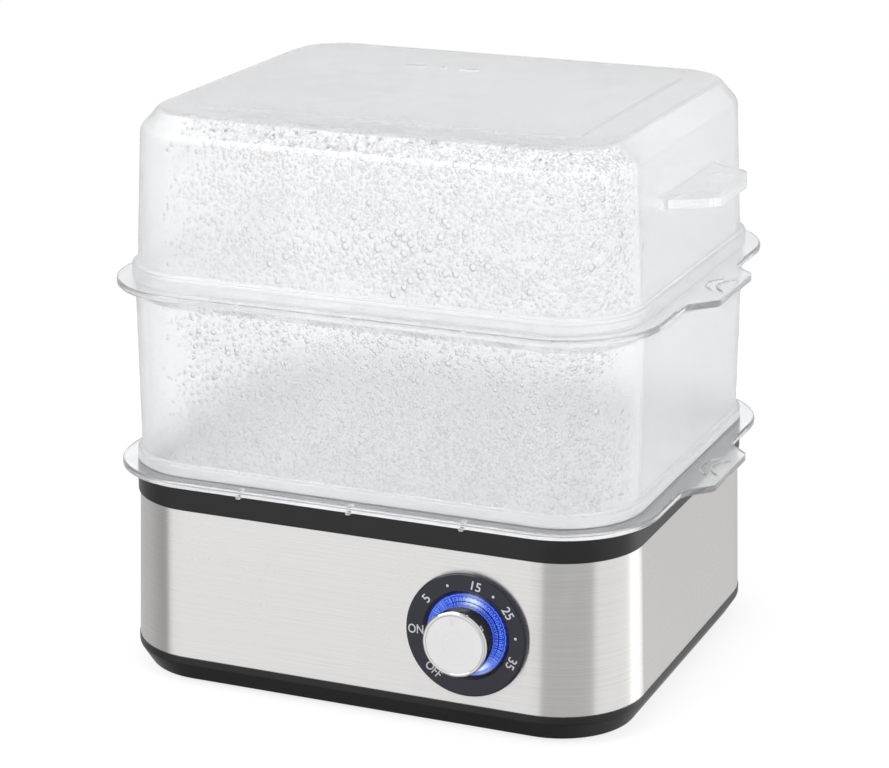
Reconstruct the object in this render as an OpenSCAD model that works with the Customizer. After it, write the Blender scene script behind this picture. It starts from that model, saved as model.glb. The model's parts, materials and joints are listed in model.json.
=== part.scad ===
// Two-tier electric egg cooker and steamer: heated base with a timer dial,
// two lift-off trays, a clear steam container and a clear lid.
// Lengths are in millimetres and +Z is up. The origin is on the floor, under the middle of the whole part.

/* [Steel sleeve] */
// Width of the sleeve at its lower edge
body_w = 240; // [225:1:260]
// Depth of the sleeve at its lower edge
body_d = 209; // [195:1:225]
// Corner radius of the sleeve at its lower edge
corner_r = 38.5; // [37:0.5:42]
// Height of the sleeve
sleeve_h = 68.5; // [66:0.5:80]
// How far each side leans in from the lower edge to the upper one
sleeve_lean = 2.1; // [1.5:0.1:2.6]
// Thickness of the steel sheet
sheet_t = 0.8; // [0.6:0.1:1]

/* [Base shell and feet] */
// Height of the feet under the shell
foot_h = 1.5; // [1:0.5:4]
// Radius of a foot
foot_r = 8; // [6:0.5:10]
// How deep a foot sits in its pocket
foot_seat = 1.5; // [1:0.1:1.8]
// Height of the black shell under the sleeve
shell_h = 12.5; // [11:0.5:16]
// Height of the upright band at the shell's upper edge
band_h = 3.5; // [2:0.5:5]
// How far the shell runs in below that band
shell_taper = 5.6; // [4:0.1:6]
// Thickness of the shell's floor
shell_floor = 2.5; // [2:0.1:3]
// Thickness of the shell's wall
shell_wall = 2.8; // [2.4:0.1:3.2]
// How far the shell stands out past the sleeve
shell_proud = 0.3; // [0.1:0.1:1]
// Radius of the shell's lower edge
shell_round = 2; // [1:0.5:3]
// Height of the lip that holds the sleeve from inside
lip_h = 4; // [3:0.5:6]
// Radius of the posts that tie the ring to the shell
post_r = 3.8; // [3.6:0.1:4.2]
// Radius of a screw's shank
screw_r = 1.7; // [1.4:0.1:1.9]
// Radius of a screw's head
screw_head_r = 3.2; // [3:0.1:3.5]

/* [Top ring] */
// Height of the black ring above the sleeve
ring_h = 12.7; // [11.5:0.1:16]
// How far the ring stands out past the sleeve
ring_proud = 0.8; // [0.4:0.1:1.2]
// Thickness of the ring's upper wall
ring_wall = 3.35; // [3:0.05:4]
// Depth of the skirt inside the sleeve
skirt_h = 6.5; // [4:0.5:7]
// Height of the pan's ledge above the sleeve's upper edge
ledge_h = 3; // [2:0.5:4]

/* [Water pan and heater] */
// Thickness of the pan's metal
pan_t = 1.3; // [1:0.1:1.6]
// Thickness of the gasket under the pan's rim
gasket_t = 1.2; // [0.8:0.1:2]
// Depth of the pan's shallow floor under its rim
pan_depth = 12.2; // [11:0.1:13]
// Depth of the round well below the shallow floor
well_depth = 20; // [16:0.5:22]
// Outer radius of the well
well_r = 66; // [60:0.5:68]
// How far the well lies behind the middle
well_back = 12; // [8:0.5:14]
// Radius of the heating plate under the well
plate_r = 58; // [54:0.5:60]
// Thickness of the heating plate
plate_t = 5; // [4:0.5:6]
// Radius of the heater tube's loop
heater_loop_r = 44; // [40:0.5:46]
// Radius of the heater tube
heater_r = 3.9; // [3.4:0.1:4.2]
// Angle left open at the back of the heater's loop
heater_gap = 44; // [40:1:60]
// Radius of the bend at each end of the loop
heater_bend = 8; // [6:0.5:9]
// Length of a cold leg below its bend
heater_leg = 6; // [3:0.5:8]

/* [Timer and dial] */
// Distance of the dial to the right of the middle
dial_x = 53.3; // [45:0.1:56]
// Height of the dial's centre above the sleeve's lower edge
dial_up = 32.2; // [30:0.1:34]
// Radius of the black dial plate
dial_r = 27.7; // [27.5:0.1:30]
// Thickness of the dial plate
dial_t = 2.6; // [2:0.1:3]
// Outer radius of the clear light ring
light_r = 18.4; // [17:0.1:19]
// Number of fine ribs on the light ring
light_ribs = 40; // [24:4:48]
// Radius of the knob at its back
knob_r = 14.9; // [13:0.1:16]
// Length of the knob
knob_len = 12.8; // [11:0.1:15]
// Clear gap behind the knob
knob_gap = 0.7; // [0.5:0.1:1]
// Radius of the timer's shaft
shaft_r = 3; // [2.5:0.1:3.2]
// Running clearance round the shaft
shaft_gap = 0.05; // [0.03:0.01:0.08]
// Radius of the timer's case
timer_r = 24; // [20:0.5:24.5]
// Depth of the timer's case
timer_len = 26; // [20:1:28]
// Angle of the knob's pointer, clockwise from the top
pointer_angle = -5; // [-20:1:20]

/* [Trays] */
// Thickness of a tray's flange
flange_t = 3; // [2.5:0.1:4]
// How far a tray's flange stands out past the ring
flange_out = 6.6; // [5:0.1:8]
// Thickness of a tray's wall and floor
tray_t = 1.8; // [1.5:0.1:2]
// Depth of a tray's floor under its flange's upper face
tray_depth = 6.7; // [5.5:0.1:7]
// Clearance between a tray and what it drops into
tray_gap = 0.55; // [0.4:0.05:0.7]
// Height of the rib that centres what stands on the tray
rib_h = 3.6; // [2.5:0.1:4]
// Thickness of that rib
rib_t = 1.5; // [1.2:0.1:1.6]
// Clearance round that rib
rib_gap = 0.4; // [0.3:0.05:0.6]
// Length of a steam slot
slot_l = 26; // [20:1:28]
// Width of a steam slot
slot_w = 3.2; // [2.4:0.1:3.6]
// Rows of steam slots
slot_rows = 10; // [8:1:12]
// Slots in a row
slot_cols = 5; // [3:1:6]
// How far a tray's grip stands out past its flange
grip_out = 10.9; // [8:0.1:14]
// Half length of a tray's grip at its outer edge
grip_half = 23.5; // [18:0.5:28]
// Radius of the concave root on each side of a grip
grip_root_r = 12; // [6:1:16]
// Height of the curved finger ridges on a grip
ridge_h = 0.8; // [0.5:0.1:1.2]
// Radius of a finger ridge's bow
ridge_r = 14; // [12:0.5:16]
// Distance between the two finger ridges
ridge_step = 5; // [4:0.5:6]

/* [Container and lid] */
// Thickness of the clear walls
clear_t = 2; // [1.8:0.1:2.3]
// Height of the steam container
container_h = 80.4; // [70:0.1:100]
// How far each side of the container leans out to its upper edge
container_lean = 0.8; // [0.6:0.1:1.5]
// Height of the container's foot
container_foot_h = 5; // [4.8:0.1:7]
// How far the container's foot stands out past its wall
container_step = 2; // [1.8:0.1:2.2]
// Height of the lid without its raised panel
lid_h = 75.4; // [65:0.1:95]
// How far each side of the lid leans in up to its shoulder
lid_lean = 2.8; // [1.5:0.1:4]
// Height of the lid's foot
lid_foot_h = 6.4; // [5.5:0.1:8]
// How far the lid's foot stands out past its wall
lid_step = 2.6; // [2.3:0.1:3]
// Height of the lid's sloping shoulder
shoulder_h = 9.4; // [7:0.1:12]
// How far the shoulder runs in
shoulder_in = 8.4; // [6:0.1:10]
// Height of the panel on the lid
panel_h = 0.8; // [0.5:0.1:1.5]
// Height of the lid's grips above the lid's lower edge
lid_grip_up = 43.4; // [35:0.1:50]
// How far a lid grip stands out from the corner of the wall
lid_grip_out = 52.8; // [48:0.1:56]
// Half length of a lid grip at its outer edge
lid_grip_half = 21; // [16:0.5:25]
// Thickness of a lid grip
lid_grip_t = 3; // [2.5:0.1:4]
// Height of the lip that turns down along a lid grip's edge
lid_lip_h = 3.5; // [2:0.5:5]
// Thickness of that lip
lid_lip_t = 1.6; // [1.2:0.1:2]
// Width of the lid's steam vents
vent_w = 3.6; // [3:0.1:3.8]

/* [Cord gland] */
// Radius of the cord's hole
cord_r = 3.5; // [3:0.1:4]
// Distance of the gland to the left of the middle
gland_x = 50; // [44:1:54]
// Height of the gland above the sleeve's lower edge
gland_up = 16; // [14:0.5:24]

/* [Hidden] */
$fn = 96;

// All rounded-rectangle pieces share these corner centres; d is a distance outward from them.
corner_x = body_w / 2 - corner_r;
corner_y = body_d / 2 - corner_r;

// Levels from the floor up
z_shell = foot_h;
z_floor = z_shell + shell_floor;
z_sleeve = z_shell + shell_h;
z_band = z_sleeve - band_h;
z_ring = z_sleeve + sleeve_h;
z_ledge = z_ring + ledge_h;
z_deck = z_ring + ring_h;
z_rim = z_ledge + gasket_t;
z_pan = z_rim + pan_t - pan_depth - pan_t;
z_well = z_pan - well_depth;
z_plate = z_well - plate_t;
z_container = z_deck + flange_t;
z_upper = z_container + container_h;
z_lid = z_upper + flange_t;
z_top = z_lid + lid_h;

// Distances out from the corner centres
d_sleeve_top = corner_r - sleeve_lean;
d_shell = corner_r + shell_proud;
d_ring = d_sleeve_top + ring_proud;
d_mouth = d_ring - ring_wall;
d_skirt = d_sleeve_top - sheet_t - 0.2;
skirt_t = 1.8;
d_basin = d_mouth - tray_gap;
d_flange = d_ring + flange_out;
d_foot = d_ring - 0.3;
d_rib = d_foot - clear_t - rib_gap;
d_container = d_foot - container_step;
d_lid = d_foot - lid_step;
d_lid_top = d_lid - lid_lean;

// Half width of the rear panel
rear_half = corner_x - 6;

// Pan and posts
recess_r = screw_head_r + 0.4;
post_d = d_shell - shell_taper - recess_r - 1.6;
post_x = corner_x + post_d / sqrt(2);
post_y = corner_y + post_d / sqrt(2);
post_foot_z = z_floor + 7;
d_pan = post_d - post_r - 0.7;
d_pan_rim = d_mouth - 1.4;
screw_len = 14;
screw_head_h = 2.4;
pilot_gap = 0.1;
screw_cross = 0.62;
fuse_back = 22;
fuse_r = 2.1;
fuse_clearance = 0.05;
strap_t = 1;
seam = 0.2;
collar_out = 0.3;
stud_r = 2;
stud_out = 5;
ear_x = 11;
tab = [6.3, 0.8, 8];
block = [34, 18, 15];
pole_step = 11;
block_x = -gland_x - block.x / 2;
block_y = corner_y - 8;

// Front face: it leans with the sleeve, and so does everything on the dial's axis
lean_angle = atan(sleeve_lean / sleeve_h);
z_dial = z_sleeve + dial_up;
knob_back = dial_t - 0.9 + knob_gap;
knob_front = knob_back + knob_len;
face_inset = 0.7;
board_r = light_r + 2.5;
board_back = 8.4;
board_t = 1.6;
bracket_t = 1.6;
spacer_r = 2.8;
bracket_screw_d = board_r + spacer_r + 0.3;
bracket_back = board_back + bracket_t;
bracket_side = 5;
timer_screw_d = timer_r + 3;
panel_head_r = 2.7;
bracket_screw_l = 6;
ridge_w = 1.4;
ridge_turn = 96;

// The knob reaches further forward than the flanges reach back, so the part is moved back by half of that
reach_front = wall_y(z_dial) + knob_front * cos(lean_angle) + knob_r * sin(lean_angle);
reach_back = corner_y + d_flange;
centre_shift = (reach_front - reach_back) / 2;

// Distance of the sleeve's outer face from the middle, front or back, at height z
function wall_y(z) = corner_y + corner_r - sleeve_lean * (z - z_sleeve) / sleeve_h;

// Points of the arc that rounds the corner at b between a and c
function round_corner(a, b, c, r, steps) =
    let (
        u = (a - b) / norm(a - b),
        v = (c - b) / norm(c - b),
        half = acos(u * v) / 2,
        start = b + u * r / tan(half),
        end = b + v * r / tan(half),
        mid = b + (u + v) / norm(u + v) * r / sin(half),
        from = atan2(start.y - mid.y, start.x - mid.x),
        turn = atan2(end.y - mid.y, end.x - mid.x) - from,
        sweep = turn > 180 ? turn - 360 : turn < -180 ? turn + 360 : turn
    )
    [for (i = [0:steps]) mid + r * [cos(from + sweep * i / steps), sin(from + sweep * i / steps)]];

// Closed outline from [distance, height, radius] points, each corner rounded to its radius
function outline(path, steps = 4) =
    let (n = len(path))
    [for (i = [0:n - 1])
        let (p = path[i], a = path[(i + n - 1) % n], c = path[(i + 1) % n])
        each (p.z > 0
            ? round_corner([a.x, a.y], [p.x, p.y], [c.x, c.y], p.z, steps)
            : [[p.x, p.y]])];

// Moves a piece from the body's middle to the part's origin
module placed() {
    translate([0, centre_shift, 0]) children();
}

// Runs a profile of distance and height once round the rounded rectangle
module swept(profile) {
    for (turn = [0, 180]) rotate([0, 0, turn]) {
        translate([corner_x, corner_y, 0]) rotate([90, 0, 0])
            linear_extrude(2 * corner_y) polygon(profile);
        rotate([0, 0, 90]) translate([corner_y, corner_x, 0]) rotate([90, 0, 0])
            linear_extrude(2 * corner_x) polygon(profile);
        translate([corner_x, corner_y, 0])
            rotate_extrude(angle = 90) polygon(profile);
        translate([-corner_x, corner_y, 0]) rotate([0, 0, 90])
            rotate_extrude(angle = 90) polygon(profile);
    }
}

// Rectangle between the corner centres, which fills the middle of a swept plate
module middle(low, high) {
    translate([-corner_x, -corner_y, low])
        cube([2 * corner_x, 2 * corner_y, high - low]);
}

// Frame of the front face: the origin is on the sleeve's outer face and +Z points out of it
module on_front() {
    translate([dial_x, -wall_y(z_dial), z_dial])
        rotate([90 - lean_angle, 0, 0]) children();
}

// The same on the back face, at the cord gland
module on_back() {
    z_gland = z_sleeve + gland_up;
    translate([-gland_x, wall_y(z_gland), z_gland])
        rotate([lean_angle - 90, 0, 0]) children();
}

module at_posts() {
    for (x = [-post_x, post_x], y = [-post_y, post_y]) translate([x, y, 0]) children();
}

module at_feet() {
    for (x = [-corner_x, corner_x], y = [-corner_y, corner_y]) translate([x, y, 0]) children();
}

module at_well() {
    translate([0, well_back, 0]) children();
}

// Slot with round ends along X, cut or raised through h
module slot(l, w, h) {
    linear_extrude(h) union() {
        square([l - w, w], center = true);
        for (x = [w / 2 - l / 2, l / 2 - w / 2]) translate([x, 0]) circle(d = w, $fn = 32);
    }
}

// Pan-head screw with a cross recess: its head's underside is at z = 0 and its shank points up
module screw(len, shank_r, head_r, head_h) {
    cross = [2 * screw_cross * head_r, 0.3 * head_r, head_h];
    difference() {
        union() {
            cylinder(r = shank_r, h = len, $fn = 32);
            translate([0, 0, -head_h]) rotate_extrude($fn = 32) polygon([
                [0, 0], [0.8 * head_r, 0], [head_r, 0.4 * head_h], [head_r, head_h], [0, head_h]
            ]);
        }
        for (turn = [0, 90]) rotate([0, 0, turn])
            translate([-cross.x / 2, -cross.y / 2, -1.45 * head_h]) cube(cross);
    }
}

module rubber_feet() {
    top = foot_h + foot_seat;
    color("#202020") placed() at_feet() rotate_extrude()
        polygon([[0, 0], [foot_r - 1.2, 0], [foot_r, 0.8], [foot_r, top], [0, top]]);
}

module base_shell() {
    d_in = d_shell - shell_wall;
    taper_in = shell_taper * (z_band - z_floor) / (z_band - z_shell);
    lip_out = corner_r - sheet_t - 0.3;
    profile = outline([
        [0, z_shell, 0], [d_shell - shell_taper, z_shell, shell_round],
        [d_shell, z_band, 3], [d_shell, z_sleeve, 0],
        [lip_out, z_sleeve, 0], [lip_out, z_sleeve + lip_h, 0], [lip_out - 1.5, z_sleeve + lip_h, 0],
        [d_in, z_sleeve, 0], [d_in, z_band, 2], [d_in - taper_in, z_floor, 0], [0, z_floor, 0]
    ], 6);
    boss_h = post_foot_z - z_shell - 1;
    vent_l = 36;
    vent_gap = 3;
    vent_step = 7;
    color("#161616") placed() difference() {
        union() {
            swept(profile);
            middle(z_shell, z_floor);
            at_posts() translate([0, 0, z_shell + 1]) cylinder(r = post_r + 2, h = boss_h);
            at_feet() translate([0, 0, z_shell + 1]) cylinder(r = foot_r + 2.2, h = shell_floor + 1);
        }
        at_posts() {
            translate([0, 0, z_shell - 1]) cylinder(r = recess_r, h = screw_head_h + 2.1);
            cylinder(r = screw_r + 0.4, h = z_sleeve);
        }
        at_feet() cylinder(r = foot_r + 0.2, h = foot_h + foot_seat);
        for (side = [-1, 1], i = [-2:2])
            translate([side * 40 + i * vent_step - vent_gap / 2, -vent_l / 2, z_shell - 1])
                cube([vent_gap, vent_l, shell_floor + 2]);
    }
}

module base_screws() {
    color("#9a9a9a") placed() at_posts() translate([0, 0, z_shell + screw_head_h + 1.1])
        screw(screw_len, screw_r, screw_head_r, screw_head_h);
}

// Sheet that runs all the way round, before it is divided at its two rear seams
module sleeve_sheet() {
    swept([
        [corner_r, z_sleeve], [d_sleeve_top, z_ring],
        [d_sleeve_top - sheet_t, z_ring], [corner_r - sheet_t, z_sleeve]
    ]);
}

// Straight stretch of the sheet at the back that the rear panel fills
module rear_window(half) {
    translate([-half, corner_y, z_sleeve - 1]) cube([2 * half, corner_r + 1, sleeve_h + 2]);
}

// Front and sides in one bent sheet
module steel_sleeve() {
    color("#c9c9c6") placed() difference() {
        sleeve_sheet();
        rear_window(rear_half + seam / 2);
        on_front() {
            translate([0, 0, -5]) cylinder(r = light_r + 0.3, h = 10);
            for (turn = [45, 225]) rotate([0, 0, turn]) translate([bracket_screw_d, 0, -5])
                cylinder(r = screw_r + 0.2, h = 10, $fn = 32);
        }
    }
}

// Sheet that closes the back between the two seams and holds the cord gland
module rear_panel() {
    color("#c9c9c6") placed() difference() {
        intersection() {
            sleeve_sheet();
            rear_window(rear_half - seam / 2);
        }
        on_back() translate([0, 0, -5]) cylinder(r = cord_r + 2.6, h = 10);
    }
}

module top_ring() {
    d_in = d_pan + 0.5;
    profile = outline([
        [d_skirt, z_ring - skirt_h, 0], [d_skirt, z_ring, 0], [d_ring, z_ring, 1],
        [d_ring, z_deck, 1], [d_mouth, z_deck, 0], [d_mouth - 0.6, z_ledge, 0],
        [d_in, z_ledge, 0], [d_in, z_ring, 0], [d_skirt - skirt_t, z_ring, 0],
        [d_skirt - skirt_t, z_ring - skirt_h, 0]
    ]);
    color("#141414") placed() difference() {
        union() {
            swept(profile);
            at_posts() translate([0, 0, post_foot_z]) cylinder(r = post_r, h = z_ring + 1 - post_foot_z);
        }
        at_posts() translate([0, 0, post_foot_z - 1])
            cylinder(r = screw_r + pilot_gap, h = screw_len, $fn = 32);
    }
}

module pan_gasket() {
    inner = d_pan + 1.5;
    outer = d_pan_rim - 0.6;
    color("#b8b8b0") placed()
        swept([[inner, z_ledge], [outer, z_ledge], [outer, z_rim], [inner, z_rim]]);
}

module heating_pan() {
    floor_top = z_pan + pan_t;
    rim_top = z_rim + pan_t;
    profile = outline([
        [0, z_pan, 0], [d_pan, z_pan, 2.3], [d_pan, z_rim, 0], [d_pan_rim, z_rim, 0],
        [d_pan_rim, rim_top, 0], [d_pan - pan_t, rim_top, 0], [d_pan - pan_t, floor_top, 1],
        [0, floor_top, 0]
    ]);
    well = outline([
        [0, z_well, 0], [well_r, z_well, 3], [well_r, z_pan + pan_t / 2, 0],
        [well_r - pan_t, z_pan + pan_t / 2, 0], [well_r - pan_t, z_well + pan_t, 1.5],
        [0, z_well + pan_t, 0]
    ]);
    color("#b4b6b8") placed() {
        difference() {
            union() {
                swept(profile);
                middle(z_pan, floor_top);
            }
            at_well() translate([0, 0, z_pan - 1]) cylinder(r = well_r - pan_t / 2, h = pan_t + 2);
        }
        at_well() rotate_extrude() polygon(well);
        at_plate_studs() translate([0, 0, z_plate - stud_out])
            cylinder(r = stud_r, h = plate_t + stud_out + 0.5, $fn = 32);
    }
}

module at_plate_studs() {
    at_well() for (turn = [30, 150, 270]) rotate([0, 0, turn]) translate([plate_r / 2, 0, 0]) children();
}

// Frame of each end of the loop: +X points on along the tube and +Z up
module at_loop_ends() {
    at_well() translate([0, 0, z_plate - 1]) for (end = [-1, 1])
        rotate([0, 0, 90 + end * heater_gap / 2]) translate([heater_loop_r, 0, 0])
            rotate([0, 0, -90 * end]) children();
}

// Top of each cold leg, below the bend that turns the loop's end down
module at_heater_legs() {
    at_loop_ends() translate([heater_bend + seam, 0, -heater_bend - seam]) children();
}

module heat_plate() {
    color("#a8a9ab") placed() difference() {
        at_well() translate([0, 0, z_plate]) cylinder(r = plate_r, h = plate_t);
        at_well() translate([0, 0, z_plate - 1]) rotate_extrude()
            translate([heater_loop_r, 0]) circle(r = heater_r + collar_out + 0.1, $fn = 48);
        at_plate_studs() translate([0, 0, z_plate - 1])
            cylinder(r = stud_r + 0.2, h = plate_t + 2, $fn = 32);
        at_well() for (x = [-ear_x, ear_x]) translate([x, 0, z_plate - 1])
            cylinder(r = 1.5, h = 4, $fn = 32);
    }
}

module plate_nuts() {
    nut_r = 2.02 * stud_r;
    nut_h = 1.6 * stud_r;
    color("#c0c0c0") placed() at_plate_studs() translate([0, 0, z_plate - nut_h]) difference() {
        cylinder(r = nut_r, h = nut_h, $fn = 6);
        translate([0, 0, -1]) cylinder(r = stud_r + 0.05, h = nut_h + 2, $fn = 32);
    }
}

// Tube bent into a loop, with a collar over the seam at each end of each bend
module heater_ring() {
    collar_r = heater_r + collar_out;
    collar_l = 2.4;
    color("#8d8478") placed() {
        at_well() translate([0, 0, z_plate - 1]) rotate([0, 0, 90 + heater_gap / 2])
            rotate_extrude(angle = 360 - heater_gap)
                translate([heater_loop_r, 0]) circle(r = heater_r, $fn = 48);
        at_loop_ends() {
            rotate([0, 90, 0]) translate([0, 0, -collar_l / 2])
                cylinder(r = collar_r, h = collar_l, $fn = 48);
            translate([seam, 0, -heater_bend]) rotate([90, 0, 0])
                rotate_extrude(angle = 90) translate([heater_bend, 0]) circle(r = heater_r, $fn = 48);
        }
        at_heater_legs() {
            translate([0, 0, seam / 2 - collar_l / 2]) cylinder(r = collar_r, h = collar_l, $fn = 48);
            translate([0, 0, -heater_leg]) cylinder(r = heater_r, h = heater_leg, $fn = 48);
        }
    }
}

module heater_terminals() {
    bead_h = 4;
    pin_r = 1.4;
    pin_h = 6;
    color("#d8d2c4") placed() at_heater_legs() translate([0, 0, -heater_leg - bead_h]) {
        cylinder(r = heater_r - 0.5, h = bead_h, $fn = 48);
        translate([0, 0, -pin_h]) cylinder(r = pin_r, h = pin_h + 1, $fn = 32);
        translate([-tab.x / 2, -tab.y / 2, 3 - pin_h - tab.z]) cube(tab);
    }
}

module thermostat() {
    body_r = 8.2;
    body_h = 8;
    ear = [2 * ear_x + 8, 10, strap_t];
    tab_gap = 5;
    color("#2c2c30") placed() at_well() translate([0, 0, z_plate]) difference() {
        union() {
            translate([0, 0, -body_h]) cylinder(r = body_r, h = body_h);
            translate([-ear.x / 2, -ear.y / 2, -ear.z]) cube(ear);
            for (x = [-tab_gap, tab_gap]) translate([x - tab.y / 2, -tab.x / 2, 1 - body_h - tab.z])
                cube([tab.y, tab.x, tab.z]);
        }
        for (x = [-ear_x, ear_x]) translate([x, 0, -3]) cylinder(r = 1.6, h = 4, $fn = 32);
    }
}

module thermostat_screws() {
    color("#c0c0c0") placed() at_well() for (x = [-ear_x, ear_x])
        translate([x, 0, z_plate - strap_t]) screw(3.6, 1.4, 2.4, 1.6);
}

module thermal_fuse() {
    case_l = 12;
    lead_l = 30;
    color("#c9c3b0") placed() at_well() translate([0, fuse_back, z_plate - fuse_r - 0.1])
        rotate([0, 90, 0]) {
            cylinder(r = fuse_r, h = case_l, center = true, $fn = 48);
            cylinder(r = 0.6, h = lead_l, center = true, $fn = 32);
        }
}

// Strap that is bent over the fuse and lies on the plate at both ends
module fuse_clip() {
    strap = [5, 18, strap_t];
    inner = fuse_r + fuse_clearance;
    over = inner + strap_t;
    drop = fuse_r + 0.1;
    color("#b0b0b0") placed() at_well() translate([0, fuse_back, z_plate]) difference() {
        union() {
            translate([-strap.x / 2, -strap.y / 2, -strap.z]) cube(strap);
            translate([-strap.x / 2, -over, -drop - over]) cube([strap.x, 2 * over, drop + over - 0.4]);
        }
        translate([0, 0, -drop]) rotate([0, 90, 0])
            cylinder(r = inner, h = strap.x + 2, center = true, $fn = 48);
        translate([-strap.x / 2 - 1, -inner, -drop]) cube([strap.x + 2, 2 * inner, drop + 1]);
    }
}

module at_bracket_screws() {
    for (turn = [45, 225]) rotate([0, 0, turn]) translate([bracket_screw_d, 0, 0]) children();
}

module at_timer_screws() {
    for (turn = [135, 315]) rotate([0, 0, turn]) translate([timer_screw_d, 0, 0]) children();
}

module control_bracket() {
    plate = [2 * (timer_r + bracket_side), 2 * timer_r, bracket_t];
    color("#b9bcbe") placed() on_front() difference() {
        union() {
            translate([-plate.x / 2, -plate.y / 2, -bracket_back]) cube(plate);
            at_bracket_screws() translate([0, 0, -board_back - 0.4])
                cylinder(r = spacer_r, h = board_back + 0.4 - sheet_t, $fn = 48);
        }
        translate([0, 0, -bracket_back - 1]) cylinder(r = shaft_r + 2.3, h = bracket_t + 2);
        at_bracket_screws() translate([0, 0, -bracket_screw_l - 1])
            cylinder(r = screw_r + pilot_gap, h = bracket_screw_l + 4, $fn = 32);
        at_timer_screws() translate([0, 0, -bracket_back - 1])
            cylinder(r = screw_r + 0.3, h = bracket_t + 2, $fn = 32);
    }
}

module bracket_screws() {
    color("#c0c0c0") placed() on_front() at_bracket_screws()
        rotate([180, 0, 0]) screw(bracket_screw_l, screw_r, panel_head_r, 1.3);
}

module timer_body() {
    ear_t = 3;
    ear_r = 4;
    tab_step = 8;
    tab_drop = 0.625 * timer_r;
    tube_l = bracket_t + 6;
    wall_behind = 4;
    color("#e4e0d6") placed() on_front() translate([0, 0, -bracket_back]) difference() {
        union() {
            translate([0, 0, -timer_len]) rotate_extrude()
                polygon(outline([
                    [0, 0, 0], [timer_r, 0, 2], [timer_r, timer_len, 0], [0, timer_len, 0]
                ]));
            at_timer_screws() translate([0, 0, -ear_t]) cylinder(r = ear_r, h = ear_t, $fn = 48);
            translate([0, 0, -1]) cylinder(r = shaft_r + 2, h = tube_l, $fn = 64);
            for (x = [-tab_step, 0, tab_step])
                translate([x - tab.x / 2, -tab_drop, 1 - timer_len - tab.z]) cube(tab);
        }
        translate([0, 0, wall_behind - timer_len])
            cylinder(r = shaft_r + shaft_gap, h = timer_len + tube_l, $fn = 64);
        at_timer_screws() translate([0, 0, -ear_t - 1])
            cylinder(r = screw_r + pilot_gap, h = ear_t + 2, $fn = 32);
    }
}

module timer_screws() {
    color("#c0c0c0") placed() on_front() at_timer_screws()
        translate([0, 0, -board_back]) rotate([180, 0, 0]) screw(bracket_t + 4, screw_r, panel_head_r, 1.5);
}

module timer_shaft() {
    low = 4.5 - bracket_back - timer_len;
    high = knob_front - face_inset - 2.2;
    flat = shaft_r - 0.6;
    color("#c8c8c8") placed() on_front() difference() {
        translate([0, 0, low]) cylinder(r = shaft_r, h = high - low, $fn = 64);
        translate([flat, -shaft_r - 1, knob_back + 1]) cube([3, 2 * shaft_r + 2, knob_len]);
    }
}

module led_board() {
    color("#2f6b3a") placed() on_front() translate([0, 0, -board_back]) difference() {
        cylinder(r = board_r, h = board_t);
        translate([0, 0, -1]) cylinder(r = 9, h = board_t + 2);
    }
}

module led_chips() {
    chip = [3.2, 2.4, 1.2];
    color("#f4f2dc") placed() on_front() for (i = [0:7]) rotate([0, 0, i * 45 + 22.5])
        translate([light_r - 4.5 - chip.x / 2, -chip.y / 2, board_t - board_back]) cube(chip);
}

module light_ring() {
    board_face = -board_back + board_t;
    flange_back = -sheet_t - 1.9;
    face = dial_t - 1.4;
    hub_r = 8.6;
    rib = [light_r - knob_r - 0.4, 0.6, 0.9];
    color("#9cc4ff") placed() on_front() {
        rotate_extrude() polygon([
            [hub_r, board_face], [hub_r + 1.2, board_face], [hub_r + 1.2, flange_back],
            [board_r - 1.4, flange_back], [board_r - 1.4, board_face], [board_r, board_face],
            [board_r, -sheet_t - 0.05], [light_r, -sheet_t - 0.05], [light_r, face], [hub_r, face]
        ]);
        for (i = [0:light_ribs - 1]) rotate([0, 0, i * 360 / light_ribs])
            translate([knob_r + 0.1, -rib.y / 2, face - 0.4]) cube(rib);
    }
}

module dial_plate() {
    color("#101012") placed() on_front() difference() {
        rotate_extrude() polygon(outline([
            [light_r + 0.2, 0, 0], [dial_r, 0, 0], [dial_r, dial_t, 1.1],
            [light_r + 1.6, dial_t, 0.3], [light_r + 0.2, dial_t - 1.2, 0]
        ]));
        at_bracket_screws() translate([0, 0, -1]) cylinder(r = panel_head_r + 0.25, h = 2.6, $fn = 48);
    }
}

module timer_knob() {
    bore_r = shaft_r + shaft_gap;
    bore_top = knob_front - face_inset - 1.9;
    face_r = knob_r - 2;
    profile = outline([
        [bore_r, knob_back, 0], [bore_r + 2.4, knob_back, 0], [bore_r + 2.4, bore_top, 0],
        [knob_r - 2.3, bore_top, 1], [knob_r - 1.7, knob_back, 0], [knob_r, knob_back, 0],
        [knob_r - 0.4, knob_front, 1], [face_r, knob_front, 0.3], [face_r, knob_front - face_inset, 0],
        [0, knob_front - face_inset, 0], [0, bore_top, 0], [bore_r, bore_top, 0]
    ]);
    key_back = knob_back + 1.1;
    color("#d6d6d8") placed() on_front() {
        rotate_extrude() polygon(profile);
        intersection() {
            cylinder(r = bore_r + 1, h = bore_top, $fn = 64);
            translate([shaft_r - 0.55, -shaft_r - 1, key_back])
                cube([3, 2 * shaft_r + 2, bore_top - key_back + 0.5]);
        }
    }
}

module knob_face() {
    face_t = face_inset - 0.1;
    color("#bfc0c2") placed() on_front() translate([0, 0, knob_front - face_inset]) difference() {
        cylinder(r = knob_r - 2.05, h = face_t);
        rotate([0, 0, -pointer_angle]) translate([0, knob_r - 6.4, face_t - 0.3])
            linear_extrude(1) polygon([[-1.3, 2.4], [0, 0], [1.3, 2.4]]);
    }
}

// Places of the block's six screws, and of its poles
module at_block_screws() {
    for (i = [-1:1], y = [0.28, 0.72])
        translate([-gland_x + i * pole_step, block_y + y * block.y, z_floor]) children();
}

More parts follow.
